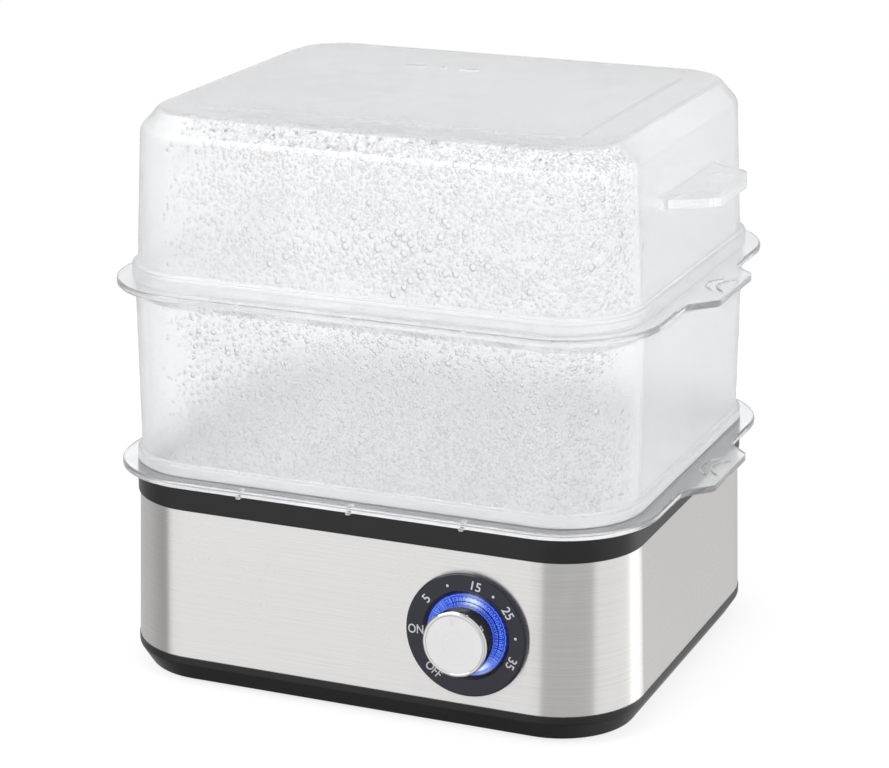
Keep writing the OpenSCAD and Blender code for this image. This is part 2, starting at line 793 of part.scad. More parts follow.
// Three-pole block on the shell's floor, just inside the gland
module terminal_block() {
    pole_r = 2;
    pole_z = 6;
    color("#e8e4d8") placed() difference() {
        translate([block_x, block_y, z_floor]) cube(block);
        for (i = [-1:1]) translate([-gland_x + i * pole_step, block_y - 1, z_floor + pole_z])
            rotate([-90, 0, 0]) cylinder(r = pole_r, h = block.y + 2, $fn = 32);
        at_block_screws() translate([0, 0, pole_z + pole_r]) cylinder(r = 1.9, h = block.z, $fn = 32);
    }
}

module terminal_screws() {
    color("#c8b060") placed() at_block_screws() translate([0, 0, 8.2]) difference() {
        cylinder(r = 1.8, h = 5.5, $fn = 32);
        translate([-2, -0.25, 4.7]) cube([4, 0.5, 1]);
    }
}

module cord_gland() {
    neck_r = cord_r + 2.4;
    head_r = cord_r + 5.5;
    color("#181818") placed() on_back() rotate_extrude() polygon(outline([
        [cord_r, -10, 0], [cord_r + 1.9, -10, 0], [cord_r + 1.9, -3.4, 0], [head_r - 1, -3.4, 0],
        [head_r - 1, -sheet_t - 0.1, 0], [neck_r, -sheet_t - 0.1, 0], [neck_r, 0.05, 0], [head_r, 0.05, 0],
        [head_r, 2.2, 0.6], [head_r - 2.2, 4, 0.6], [cord_r, 4, 0]
    ]));
}

// Flat grip on the wall at root_x: concave roots, oblique sides and a straight outer edge at out_x
module grip_shape(root_x, out_x, half, r) {
    spread = 12;
    root = half + spread;
    polygon(outline([
        [root_x - 2, -root - grip_root_r, 0], [root_x, -root - grip_root_r, 0],
        [root_x, -root, grip_root_r], [out_x, -half, r], [out_x, half, r],
        [root_x, root, grip_root_r], [root_x, root + grip_root_r, 0],
        [root_x - 2, root + grip_root_r, 0]
    ], 5));
}

// Pair of curved ridges on a grip's upper face, bowed towards the wall; edge_x is the grip's outer edge
module finger_ridges(edge_x) {
    ridge = outline([
        [ridge_r - ridge_w / 2, -0.5, 0], [ridge_r + ridge_w / 2, -0.5, 0],
        [ridge_r + ridge_w / 2 - 0.2, ridge_h, 0.3], [ridge_r - ridge_w / 2 + 0.2, ridge_h, 0.3]
    ], 3);
    for (shift = [0, ridge_step]) translate([edge_x + 1 + shift, 0, 0])
        rotate([0, 0, 180 - ridge_turn / 2]) rotate_extrude(angle = ridge_turn) polygon(ridge);
}

module tray(low) {
    floor_top = low + flange_t - tray_depth;
    floor_low = floor_top - tray_t;
    top = low + flange_t;
    profile = outline([
        [0, floor_low, 0], [d_basin - 0.7, floor_low, 1], [d_basin, low, 0],
        [d_flange, low, 0.9], [d_flange, top, 0.9], [d_rib, top, 0], [d_rib - 0.1, top + rib_h, 0.4],
        [d_rib - rib_t, top + rib_h, 0.4], [d_rib - rib_t - 0.1, top, 0],
        [d_basin - tray_t, top, 0.6], [d_basin - tray_t - 0.6, floor_top, 0.8], [0, floor_top, 0]
    ], 3);
    field_x = 2 * (corner_x + d_basin) - 28;
    field_y = 2 * (corner_y + d_basin) - 30;
    grip_x = corner_x + d_flange;
    pip = [1.8, 5, 1.2];
    step_x = field_x / slot_cols;
    step_y = field_y / slot_rows;
    difference() {
        union() {
            swept(profile);
            middle(floor_low, floor_top);
            for (turn = [0, 180]) rotate([0, 0, turn]) {
                translate([0, 0, low]) linear_extrude(flange_t)
                    grip_shape(grip_x - 0.3, grip_x + grip_out, grip_half, 5);
                translate([0, 0, top]) finger_ridges(grip_x + grip_out);
                for (x = [-52, 0, 52]) translate([x - pip.x / 2, corner_y + d_ring + 0.6, low - pip.z])
                    cube([pip.x, pip.y, pip.z + 0.5]);
            }
        }
        for (i = [0:slot_rows - 1], j = [0:slot_cols - 1])
            translate([(j + 0.5) * step_x - field_x / 2, (i + 0.5) * step_y - field_y / 2, floor_low - 1])
                slot(slot_l, slot_w, tray_t + 2);
    }
}

module lower_tray() {
    color("#dfe3e8", 0.5) placed() tray(z_deck);
}

module upper_tray() {
    color("#dfe3e8", 0.5) placed() tray(z_upper);
}

module steam_container() {
    foot_top = z_container + container_foot_h;
    profile = outline([
        [d_foot - clear_t, z_container, 0], [d_foot, z_container, 0.4], [d_foot, foot_top - 0.4, 0.8],
        [d_container, foot_top + 0.4, 0.6], [d_container + container_lean, z_upper, 0.5],
        [d_container + container_lean - clear_t, z_upper, 0.5],
        [d_container - clear_t, foot_top - 0.2, 0.4], [d_foot - clear_t, foot_top - 1.2, 0.2]
    ], 3);
    color("#eef2f6", 0.4) placed() swept(profile);
}

module lid() {
    foot_top = z_lid + lid_foot_h;
    z_shoulder = z_top - shoulder_h;
    d_flat = d_lid_top - shoulder_in;
    d_panel = d_flat - 17;
    under = z_top - clear_t;
    profile = outline([
        [0, under, 0], [d_flat - 0.5, under, 2], [d_lid_top - clear_t, z_shoulder - 0.6, 4],
        [d_lid - clear_t, foot_top, 0.4], [d_foot - clear_t, foot_top - 1.2, 0.2],
        [d_foot - clear_t, z_lid, 0], [d_foot, z_lid, 0.4], [d_foot, foot_top - 0.4, 0.8],
        [d_lid, foot_top + 0.5, 0.6], [d_lid_top, z_shoulder, 6], [d_flat, z_top, 3],
        [d_panel + 0.8, z_top, 0], [d_panel, z_top + panel_h, 0], [0, z_top + panel_h, 0]
    ], 5);
    grip_x = corner_x + lid_grip_out;
    grip_root = corner_x + d_lid_top - 0.2;
    lip_half = lid_grip_half - 0.4 * lid_lip_t;
    color("#eef2f6", 0.4) placed() difference() {
        union() {
            swept(profile);
            middle(under, z_top + panel_h);
            for (turn = [0, 180]) rotate([0, 0, turn]) translate([0, 0, z_lid + lid_grip_up]) {
                linear_extrude(lid_grip_t) grip_shape(grip_root, grip_x, lid_grip_half, 9);
                translate([0, 0, -lid_lip_h]) linear_extrude(lid_lip_h + 1) difference() {
                    grip_shape(grip_root, grip_x, lid_grip_half, 9);
                    translate([-lid_lip_t, 0]) grip_shape(grip_root, grip_x, lip_half, 9);
                }
                translate([0, 0, lid_grip_t]) finger_ridges(grip_x);
            }
        }
        translate([0, 0, under - 1]) {
            for (x = [-33, -7]) translate([x, 45, 0]) slot(10, vent_w, clear_t + panel_h + 2);
            translate([-20, 46, 0]) cylinder(r = vent_w / 2, h = clear_t + panel_h + 2, $fn = 32);
        }
    }
}

rubber_feet();
base_shell();
base_screws();
steel_sleeve();
rear_panel();
top_ring();
pan_gasket();
heating_pan();
heat_plate();
plate_nuts();
heater_ring();
heater_terminals();
thermostat();
thermostat_screws();
thermal_fuse();
fuse_clip();
control_bracket();
bracket_screws();
timer_body();
timer_screws();
timer_shaft();
led_board();
led_chips();
light_ring();
dial_plate();
timer_knob();
knob_face();
terminal_block();
terminal_screws();
cord_gland();
lower_tray();
steam_container();
upper_tray();
lid();
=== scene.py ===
"""Looks of an electric egg cooker with two steaming tiers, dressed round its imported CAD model.

Every visible surface is a CAD node with a procedural finish, or a thin piece that the CAD model leaves
to this script, such as the print on the timer dial. Lengths are in metres in the frame of the CAD model.
"""

from __future__ import annotations

import json
import logging
import math
from dataclasses import dataclass, field
from enum import Enum
from functools import reduce
from typing import Callable, Iterable, Union

import bmesh
import bpy
from mathutils import Matrix, Vector


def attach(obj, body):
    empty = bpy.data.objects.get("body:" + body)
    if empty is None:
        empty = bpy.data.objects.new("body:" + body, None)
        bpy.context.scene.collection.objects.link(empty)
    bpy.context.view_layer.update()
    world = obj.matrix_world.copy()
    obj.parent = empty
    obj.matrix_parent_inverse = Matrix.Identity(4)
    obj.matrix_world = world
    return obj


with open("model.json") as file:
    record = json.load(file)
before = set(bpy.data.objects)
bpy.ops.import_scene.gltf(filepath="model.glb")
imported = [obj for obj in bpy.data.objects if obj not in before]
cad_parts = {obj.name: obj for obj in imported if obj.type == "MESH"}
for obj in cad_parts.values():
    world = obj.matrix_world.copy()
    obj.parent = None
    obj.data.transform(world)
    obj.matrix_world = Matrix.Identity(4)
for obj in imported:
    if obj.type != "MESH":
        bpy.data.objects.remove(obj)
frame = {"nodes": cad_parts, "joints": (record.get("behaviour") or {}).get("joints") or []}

LOG = logging.getLogger("egg_cooker")
MM = 0.001
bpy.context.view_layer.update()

Colour = tuple[float, float, float]
Point = tuple[float, float, float]
Band = tuple[float, float]
Node = bpy.types.Node
Socket = bpy.types.NodeSocket
Sockets = dict[str, Socket]
Value = Union[float, tuple, Socket]
ORIGIN = (0.0, 0.0, 0.0)
RIGHT_AXIS = (1.0, 0.0, 0.0)
UP_AXIS = (0.0, 0.0, 1.0)


class Net:
    """Adds and joins nodes in one shader tree."""

    def __init__(self, tree: bpy.types.NodeTree) -> None:
        """Keeps the tree that the nodes go into."""
        self.tree = tree

    def add(self, kind: str, **settings: object) -> Node:
        """Adds a node.

        Args:
            kind: the node's Blender type.
            settings: plain properties of the node.

        Returns:
            The new node.
        """
        node = self.tree.nodes.new(kind)
        for key, value in settings.items():
            setattr(node, key, value)
        return node

    def feed(self, socket: Socket, value: Value) -> None:
        """Joins a socket to an input, or writes a constant on it.

        Args:
            socket: the input.
            value: an output to join, or a number or tuple to write.
        """
        if isinstance(value, Socket):
            self.tree.links.new(value, socket)
        else:
            socket.default_value = value

    def fill(self, node: Node, **values: Value) -> None:
        """Feeds a node's inputs by name, with an underscore for each space in a name."""
        for key, value in values.items():
            self.feed(node.inputs[key.replace("_", " ")], value)

    def put(self, kind: str, *values: Value, **settings: object) -> list[Socket]:
        """Adds a node and feeds its first inputs in order.

        Args:
            kind: the node's Blender type.
            values: what those inputs get.
            settings: plain properties of the node.

        Returns:
            The node's outputs.
        """
        node = self.add(kind, **settings)
        for socket, value in zip(node.inputs, values):
            self.feed(socket, value)
        return list(node.outputs)

    def math(self, operation: str, *values: Value) -> Socket:
        """Adds a Math node and gives its result."""
        return self.put("ShaderNodeMath", *values, operation=operation)[0]

    def line(self, value: Value, slope: Value, start: Value) -> Socket:
        """Gives value * slope + start."""
        return self.math("MULTIPLY_ADD", value, slope, start)

    def product(self, *values: Value) -> Socket:
        """Multiplies numbers, one after another."""
        return reduce(lambda made, value: self.math("MULTIPLY", made, value), values)

    def vector(self, operation: str, *values: Value) -> Socket:
        """Adds a Vector Math node and gives its result, a number for a length or a dot product."""
        result, number = self.put("ShaderNodeVectorMath", *values, operation=operation)
        return number if operation in ("LENGTH", "DOT_PRODUCT") else result

    def parts(self, vector: Value) -> list[Socket]:
        """Splits a vector into its three numbers."""
        return self.put("ShaderNodeSeparateXYZ", vector)

    def joined(self, x: Value, y: Value, z: Value) -> Socket:
        """Joins three numbers into a vector."""
        return self.put("ShaderNodeCombineXYZ", x, y, z)[0]

    def ramp(self, value: Value, start: Value, end: Value, low: Value = 0.0, high: Value = 1.0) -> Socket:
        """Maps a number smoothly: low at the start and before it, high at the end and past it."""
        values = (value, start, end, low, high)
        return self.put("ShaderNodeMapRange", *values, interpolation_type="SMOOTHSTEP")[0]

    def colours(self, factor: Value, low: Value, high: Value) -> Socket:
        """Mixes two colours.

        Args:
            factor: 0 gives the low colour and 1 the high one.
            low: the first colour.
            high: the second colour.

        Returns:
            The mixed colour.
        """
        node = self.add("ShaderNodeMix", data_type="RGBA")
        for index, value in ((0, factor), (6, low), (7, high)):
            self.feed(node.inputs[index], rgba(value) if isinstance(value, tuple) else value)
        return node.outputs[2]

    def noise(self, vector: Value, scale: Value, detail: float = 2.0, roughness: float = 0.5) -> Socket:
        """Adds a noise texture.

        Args:
            vector: where it is read.
            scale: waves per metre.
            detail: how many finer layers it has.
            roughness: how strong those layers are.

        Returns:
            A number between 0 and 1.
        """
        node = self.add("ShaderNodeTexNoise")
        self.fill(node, Vector=vector, Scale=scale, Detail=detail, Roughness=roughness)
        return node.outputs["Fac"]

    def place(self) -> Socket:
        """Gives the point on the piece, in metres in the part's frame at rest."""
        return self.add("ShaderNodeTexCoord").outputs["Object"]

    def bump(self, height: Value, depth: float) -> Socket:
        """Adds a Bump node.

        Args:
            height: the height between 0 and 1.
            depth: how deep that is, in metres.

        Returns:
            The changed normal.
        """
        node = self.add("ShaderNodeBump")
        self.fill(node, Strength=1.0, Distance=depth, Height=height)
        return node.outputs[0]


def rgba(colour: Iterable[float]) -> tuple[float, ...]:
    """Adds a full alpha to a colour."""
    return (*colour, 1.0)


def grey(shade: float) -> tuple[float, ...]:
    """Gives a neutral colour with a full alpha."""
    return (shade, shade, shade, 1.0)


def bare_net(owner: bpy.types.ID) -> Net:
    """Turns on the nodes of a material or a world and takes away those that it starts with.

    Args:
        owner: the material or the world.

    Returns:
        Its empty net.
    """
    owner.use_nodes = True
    owner.node_tree.nodes.clear()
    return Net(owner.node_tree)


def linked(name: str, data: bpy.types.ID) -> bpy.types.Object:
    """Puts a new object into the scene.

    Args:
        name: its name.
        data: its mesh, text, lamp or camera.

    Returns:
        The object.
    """
    made = bpy.data.objects.new(name, data)
    bpy.context.scene.collection.objects.link(made)
    return made


def mesh_of(name: str, shape: bmesh.types.BMesh) -> bpy.types.Mesh:
    """Turns a shape being edited into a mesh, and frees it.

    Args:
        name: the mesh's name.
        shape: the shape.

    Returns:
        The mesh.
    """
    mesh = bpy.data.meshes.new(name)
    shape.to_mesh(mesh)
    shape.free()
    return mesh


def fill_mould_grain(net: Net, given: Sockets) -> Sockets:
    """Fine pebbles of a moulded surface, with soft patches of unlike roughness.

    Args:
        net: the group's nodes.
        given: its inputs by name.

    Returns:
        Its outputs by name.
    """
    place = net.place()
    fine = net.noise(place, given["Fineness"], 3.0, 0.6)
    patch = net.noise(place, net.product(given["Fineness"], 0.02), 2.0)
    unlike = net.math("SUBTRACT", patch, 0.5)
    roughness = net.line(unlike, given["Variation"], given["Roughness"])
    return {"Height": fine, "Roughness": roughness, "Patch": patch}


def fill_brush_lines(net: Net, given: Sockets) -> Sockets:
    """Long level scratches that run round the sleeve, coarse and fine.

    Args:
        net: the group's nodes.
        given: its inputs by name.

    Returns:
        Its outputs by name.
    """
    place = net.place()
    coarse_at = net.vector("MULTIPLY", place, net.joined(given["Along"], given["Along"], given["Across"]))
    fine_at = net.vector("MULTIPLY", coarse_at, (2.7, 2.7, 3.3))
    coarse = net.noise(coarse_at, 1.0, 3.0, 0.65)
    fine = net.noise(fine_at, 1.0, 2.0, 0.5)
    lines = net.math("ADD", net.product(coarse, 0.6), net.product(fine, 0.4))
    return {"Height": lines, "Lines": net.ramp(lines, 0.35, 0.65)}


def fill_smudges(net: Net, given: Sockets) -> Sockets:
    """Large faint patches, as handling and drying leave them.

    Args:
        net: the group's nodes.
        given: its inputs by name.

    Returns:
        Its outputs by name.
    """
    place = net.place()
    wide = net.noise(place, given["Scale"], 3.0, 0.55)
    streak = net.noise(net.vector("MULTIPLY", place, (2.0, 2.0, 0.6)), net.product(given["Scale"], 2.2), 2.0)
    return {"Mask": net.ramp(net.product(wide, streak), 0.16, 0.40)}


def fill_edge_shine(net: Net, given: Sockets) -> Sockets:
    """Mask of the outer edges, where touch polishes the surface; moulded plastic also lightens its colour
    there as a painted highlight.

    Args:
        net: the group's nodes.
        given: its inputs by name.

    Returns:
        Its outputs by name.
    """
    bevel = net.add("ShaderNodeBevel", samples=4)
    net.fill(bevel, Radius=given["Width"])
    normal = net.add("ShaderNodeNewGeometry").outputs["Normal"]
    agree = net.vector("DOT_PRODUCT", bevel.outputs[0], normal)
    broken = net.noise(net.place(), 420.0, 3.0, 0.7)
    return {"Mask": net.product(net.ramp(agree, 0.99, 0.80), net.ramp(broken, 0.3, 0.6, 0.35, 1.0))}


def fill_dust(net: Net, given: Sockets) -> Sockets:
    """Faint dust on what faces up.

    Args:
        net: the group's nodes.
        given: its inputs by name.

    Returns:
        Its outputs by name.
    """
    normal = net.add("ShaderNodeNewGeometry").outputs["Normal"]
    up = net.ramp(net.parts(normal)[2], 0.35, 0.95)
    specks = net.ramp(net.noise(net.place(), given["Scale"], 4.0, 0.7), 0.50, 0.72)
    return {"Mask": net.product(up, specks, given["Amount"])}


def fill_turned_rings(net: Net, given: Sockets) -> Sockets:
    """Fine rings about an axis, as a lathe leaves them.

    Args:
        net: the group's nodes.
        given: its inputs by name.

    Returns:
        Its outputs by name.
    """
    arm = net.vector("SUBTRACT", net.place(), given["Centre"])
    along = net.vector("DOT_PRODUCT", arm, given["Axis"])
    level = net.vector("SUBTRACT", arm, net.vector("MULTIPLY", given["Axis"], along))
    across = net.vector("LENGTH", level)
    at = net.joined(net.product(across, given["Rings"]), net.product(along, given["Rings"]), 0.0)
    return {"Height": net.noise(at, 1.0, 3.0, 0.6)}


def fill_dial_frame(net: Net, given: Sockets) -> Sockets:
    """Radius and angle about the dial's axis: the angle is 0 at the top and grows clockwise, in radians.

    Args:
        net: the group's nodes.
        given: its inputs by name.

    Returns:
        Its outputs by name.
    """
    arm = net.vector("SUBTRACT", net.place(), given["Centre"])
    right = net.vector("DOT_PRODUCT", arm, RIGHT_AXIS)
    up = net.vector("DOT_PRODUCT", arm, given["Up"])
    radius = net.math("SQRT", net.math("ADD", net.product(right, right), net.product(up, up)))
    return {"Radius": radius, "Angle": net.math("ARCTAN2", right, up)}


def fill_inner_skin(net: Net, given: Sockets) -> Sockets:
    """Mask of the inner skin of a thin wall that runs round a rounded rectangle.

    Args:
        net: the group's nodes.
        given: its inputs by name.

    Returns:
        Its outputs by name.
    """
    x, y, z = net.parts(net.place())
    squares = []
    for along, corner in ((x, "Corner X"), (net.math("SUBTRACT", y, given["Middle Y"]), "Corner Y")):
        past = net.math("MAXIMUM", net.math("SUBTRACT", net.math("ABSOLUTE", along), given[corner]), 0.0)
        squares.append(net.product(past, past))
    out = net.math("SQRT", net.math("ADD", *squares))
    rise = net.math("SUBTRACT", z, given["Foot Z"])
    half = net.line(rise, given["Lean"], given["Half Way Out"])
    low = net.math("LESS_THAN", z, given["Half Way Up"])
    return {"Mask": net.product(net.math("LESS_THAN", out, half), low)}


@dataclass(frozen=True)
class BeadLayer:
    """Beads of one size: how large their cells are, how far they reach in one and what drives their share."""

    cell: float
    reach: float
    share: str
    offset: Point


BEAD_LAYERS = (
    BeadLayer(0.55, 0.47, "Amount", ORIGIN),
    BeadLayer(1.0, 0.48, "Amount", (0.31, 0.17, 0.05)),
    BeadLayer(1.9, 0.46, "Big Drops", (0.07, 0.43, 0.29)),
)
BEAD_SPREAD = 0.85
SMALLEST_BEAD = 0.55


def fill_condensation(net: Net, given: Sockets) -> Sockets:
    """Water beads of three sizes, scattered at random, each a low dome with a rim mask, where the plastic
    paints shade that stands in for the drops' refraction.

    Args:
        net: the group's nodes.
        given: its inputs by name.

    Returns:
        Its outputs by name.
    """
    place = net.place()
    height, rim, body = 0.0, 0.0, 0.0
    for layer in BEAD_LAYERS:
        cells = net.add("ShaderNodeTexVoronoi", voronoi_dimensions="3D", feature="F1")
        scale = net.math("DIVIDE", 1.0 / layer.cell, given["Size"])
        net.fill(cells, Vector=net.vector("ADD", place, layer.offset), Scale=scale, Randomness=BEAD_SPREAD)
        picked, sized, _ = net.parts(cells.outputs["Color"])
        there = net.math("LESS_THAN", picked, given[layer.share])
        least = SMALLEST_BEAD * layer.reach
        radius = net.line(sized, layer.reach - least, least)
        ratio = net.math("DIVIDE", cells.outputs["Distance"], radius)
        flat = net.math("SUBTRACT", 1.0, net.product(ratio, ratio))
        dome = net.math("SQRT", net.math("MAXIMUM", flat, 0.0))
        disc = net.product(net.ramp(ratio, 1.02, 0.92), there)
        edge = net.product(net.ramp(ratio, 0.55, 0.95), disc)
        bare = net.math("SUBTRACT", 1.0, disc)
        height = net.math("MAXIMUM", height, net.product(dome, there, net.product(radius, layer.cell)))
        rim = net.line(rim, bare, edge)
        body = net.math("MAXIMUM", body, disc)
    return {"Height": height, "Rim": rim, "Body": body}


@dataclass(frozen=True)
class GroupPlan:
    """What a node group takes, and the function that fills it and gives its outputs."""

    inputs: dict[str, Union[float, tuple]]
    fill: Callable[[Net, Sockets], Sockets]


class Effect(Enum):
    """The surface effects that several finishes share, each a node group that is built at its first use."""

    MOULD_GRAIN = GroupPlan({"Fineness": 2400.0, "Roughness": 0.4, "Variation": 0.15}, fill_mould_grain)
    BRUSH_LINES = GroupPlan({"Along": 9.0, "Across": 1400.0}, fill_brush_lines)
    SMUDGES = GroupPlan({"Scale": 24.0}, fill_smudges)
    EDGE_SHINE = GroupPlan({"Width": 0.0006}, fill_edge_shine)
    DUST = GroupPlan({"Scale": 900.0, "Amount": 0.5}, fill_dust)
    TURNED_RINGS = GroupPlan({"Centre": ORIGIN, "Axis": UP_AXIS, "Rings": 2500.0}, fill_turned_rings)
    DIAL_FRAME = GroupPlan({"Centre": ORIGIN, "Up": UP_AXIS}, fill_dial_frame)
    INNER_SKIN = GroupPlan({
        "Corner X": 0.0815, "Corner Y": 0.066, "Middle Y": 0.0, "Half Way Out": 0.034,
        "Lean": 0.0, "Foot Z": 0.0, "Half Way Up": 1.0,
    }, fill_inner_skin)
    CONDENSATION = GroupPlan({"Size": 0.0016, "Amount": 1.0, "Big Drops": 0.5}, fill_condensation)

    def group(self) -> bpy.types.NodeTree:
        """Builds the node group, or gives the one already built.

        Returns:
            The node group.
        """
        title = self.name.lower()
        found = bpy.data.node_groups.get(title)
        if found:
            return found
        tree = bpy.data.node_groups.new(title, "ShaderNodeTree")
        for name, value in self.value.inputs.items():
            kind = "NodeSocketVector" if isinstance(value, tuple) else "NodeSocketFloat"
            tree.interface.new_socket(name=name, in_out="INPUT", socket_type=kind).default_value = value
        net = Net(tree)
        given = net.add("NodeGroupInput").outputs
        made = self.value.fill(net, {name: given[name] for name in self.value.inputs})
        for name in made:
            tree.interface.new_socket(name=name, in_out="OUTPUT", socket_type="NodeSocketFloat")
        net.fill(net.add("NodeGroupOutput"), **made)
        return tree

    def use(self, net: Net, **values: Value) -> Sockets:
        """Places the effect in a material.

        Args:
            net: the material's nodes.
            values: its inputs, with an underscore for each space in a name.

        Returns:
            The group's outputs by name.
        """
        node = net.add("ShaderNodeGroup", node_tree=self.group())
        net.fill(node, **values)
        return {socket.name: socket for socket in node.outputs}


@dataclass(frozen=True)
class Finish:
    """A material's name, its plain values and the nodes that vary them."""

    name: str
    colour: Colour
    roughness: float = 0.5
    metallic: float = 0.0

    def vary(self, net: Net, shader: Node) -> None:
        """Adds the nodes that vary the plain values. Each kind of finish has its own.

        Args:
            net: the material's nodes.
            shader: its Principled BSDF.
        """

    def shown(self, net: Net, shader: Node) -> Socket:
        """Gives the shading that goes to the material's output."""
        return shader.outputs[0]

    def toned(self, share: float) -> Colour:
        """Gives the colour a little darker or brighter."""
        return tuple(share * value for value in self.colour)

    def material(self) -> bpy.types.Material:
        """Builds the material, or gives the one already built.

        Returns:
            The material.
        """
        found = bpy.data.materials.get("finish_" + self.name)
        if found:
            return found
        made = bpy.data.materials.new("finish_" + self.name)
        made.diffuse_color = rgba(self.colour)
        net = bare_net(made)
        shader = net.add("ShaderNodeBsdfPrincipled")
        net.fill(shader, Base_Color=rgba(self.colour), Roughness=self.roughness, Metallic=self.metallic)
        self.vary(net, shader)
        net.put("ShaderNodeOutputMaterial", self.shown(net, shader))
        return made


@dataclass(frozen=True)
class BrushedSteel(Finish):
    """Stainless steel brushed round the body: sharp reflections along the lines, drawn out across them."""

    line_depth: float = 0.000004
    darker: Colour = (0.70, 0.69, 0.67)

    def vary(self, net: Net, shader: Node) -> None:
        """Adds the lines, the smudges and the direction of the sheen.

        Args:
            net: the material's nodes.
            shader: its Principled BSDF.
        """
        brush = Effect.BRUSH_LINES.use(net)
        smudge = Effect.SMUDGES.use(net, Scale=14.0)
        tone = net.line(brush["Lines"], 0.35, net.product(smudge["Mask"], 0.15))
        rough = net.line(brush["Lines"], 0.05, self.roughness - 0.02)
        net.fill(
            shader,
            Base_Color=net.colours(tone, self.colour, self.darker),
            Roughness=net.line(smudge["Mask"], 0.03, rough),
            Normal=net.bump(brush["Height"], self.line_depth),
            Anisotropic=0.9,
            Anisotropic_Rotation=0.25,
            Tangent=net.put("ShaderNodeTangent", direction_type="RADIAL", axis="Z")[0],
        )


@dataclass(frozen=True)
class MouldedPlastic(Finish):
    """Moulded plastic with a fine grain, polished edges lightened by a painted highlight, and a little dust.
    """

    grain: float = 2400.0
    grain_depth: float = 0.00002
    patchiness: float = 0.16
    # edge: colour of the painted highlight along the outer edges
    edge: Colour = (0.05, 0.05, 0.052)
    edge_width: float = 0.0006
    dust: float = 0.35
    dust_colour: Colour = (0.45, 0.44, 0.42)
    coat: float = 0.0
    gloss: float = 0.5

    def vary(self, net: Net, shader: Node) -> None:
        """Adds the grain, the edges and the dust.

        Args:
            net: the material's nodes.
            shader: its Principled BSDF.
        """
        grain = Effect.MOULD_GRAIN.use(
            net, Fineness=self.grain, Roughness=self.roughness, Variation=self.patchiness
        )
        edge = Effect.EDGE_SHINE.use(net, Width=self.edge_width)
        dust = Effect.DUST.use(net, Amount=self.dust)
        shade = net.ramp(grain["Patch"], 0.3, 0.7)
        base = net.colours(shade, self.colour, self.toned(1.12))
        # painted highlight: the outer edges are mixed towards the lighter edge colour
        edge_highlighted = net.colours(net.product(edge["Mask"], 0.6), base, self.edge)
        rough = net.line(edge["Mask"], -0.08, grain["Roughness"])
        net.fill(
            shader,
            Base_Color=net.colours(net.product(dust["Mask"], 0.25), edge_highlighted, self.dust_colour),
            Roughness=net.line(dust["Mask"], 0.2, rough),
            Normal=net.bump(grain["Height"], self.grain_depth),
            Coat_Weight=self.coat,
            Coat_Roughness=0.08,
            Specular_IOR_Level=self.gloss,
        )


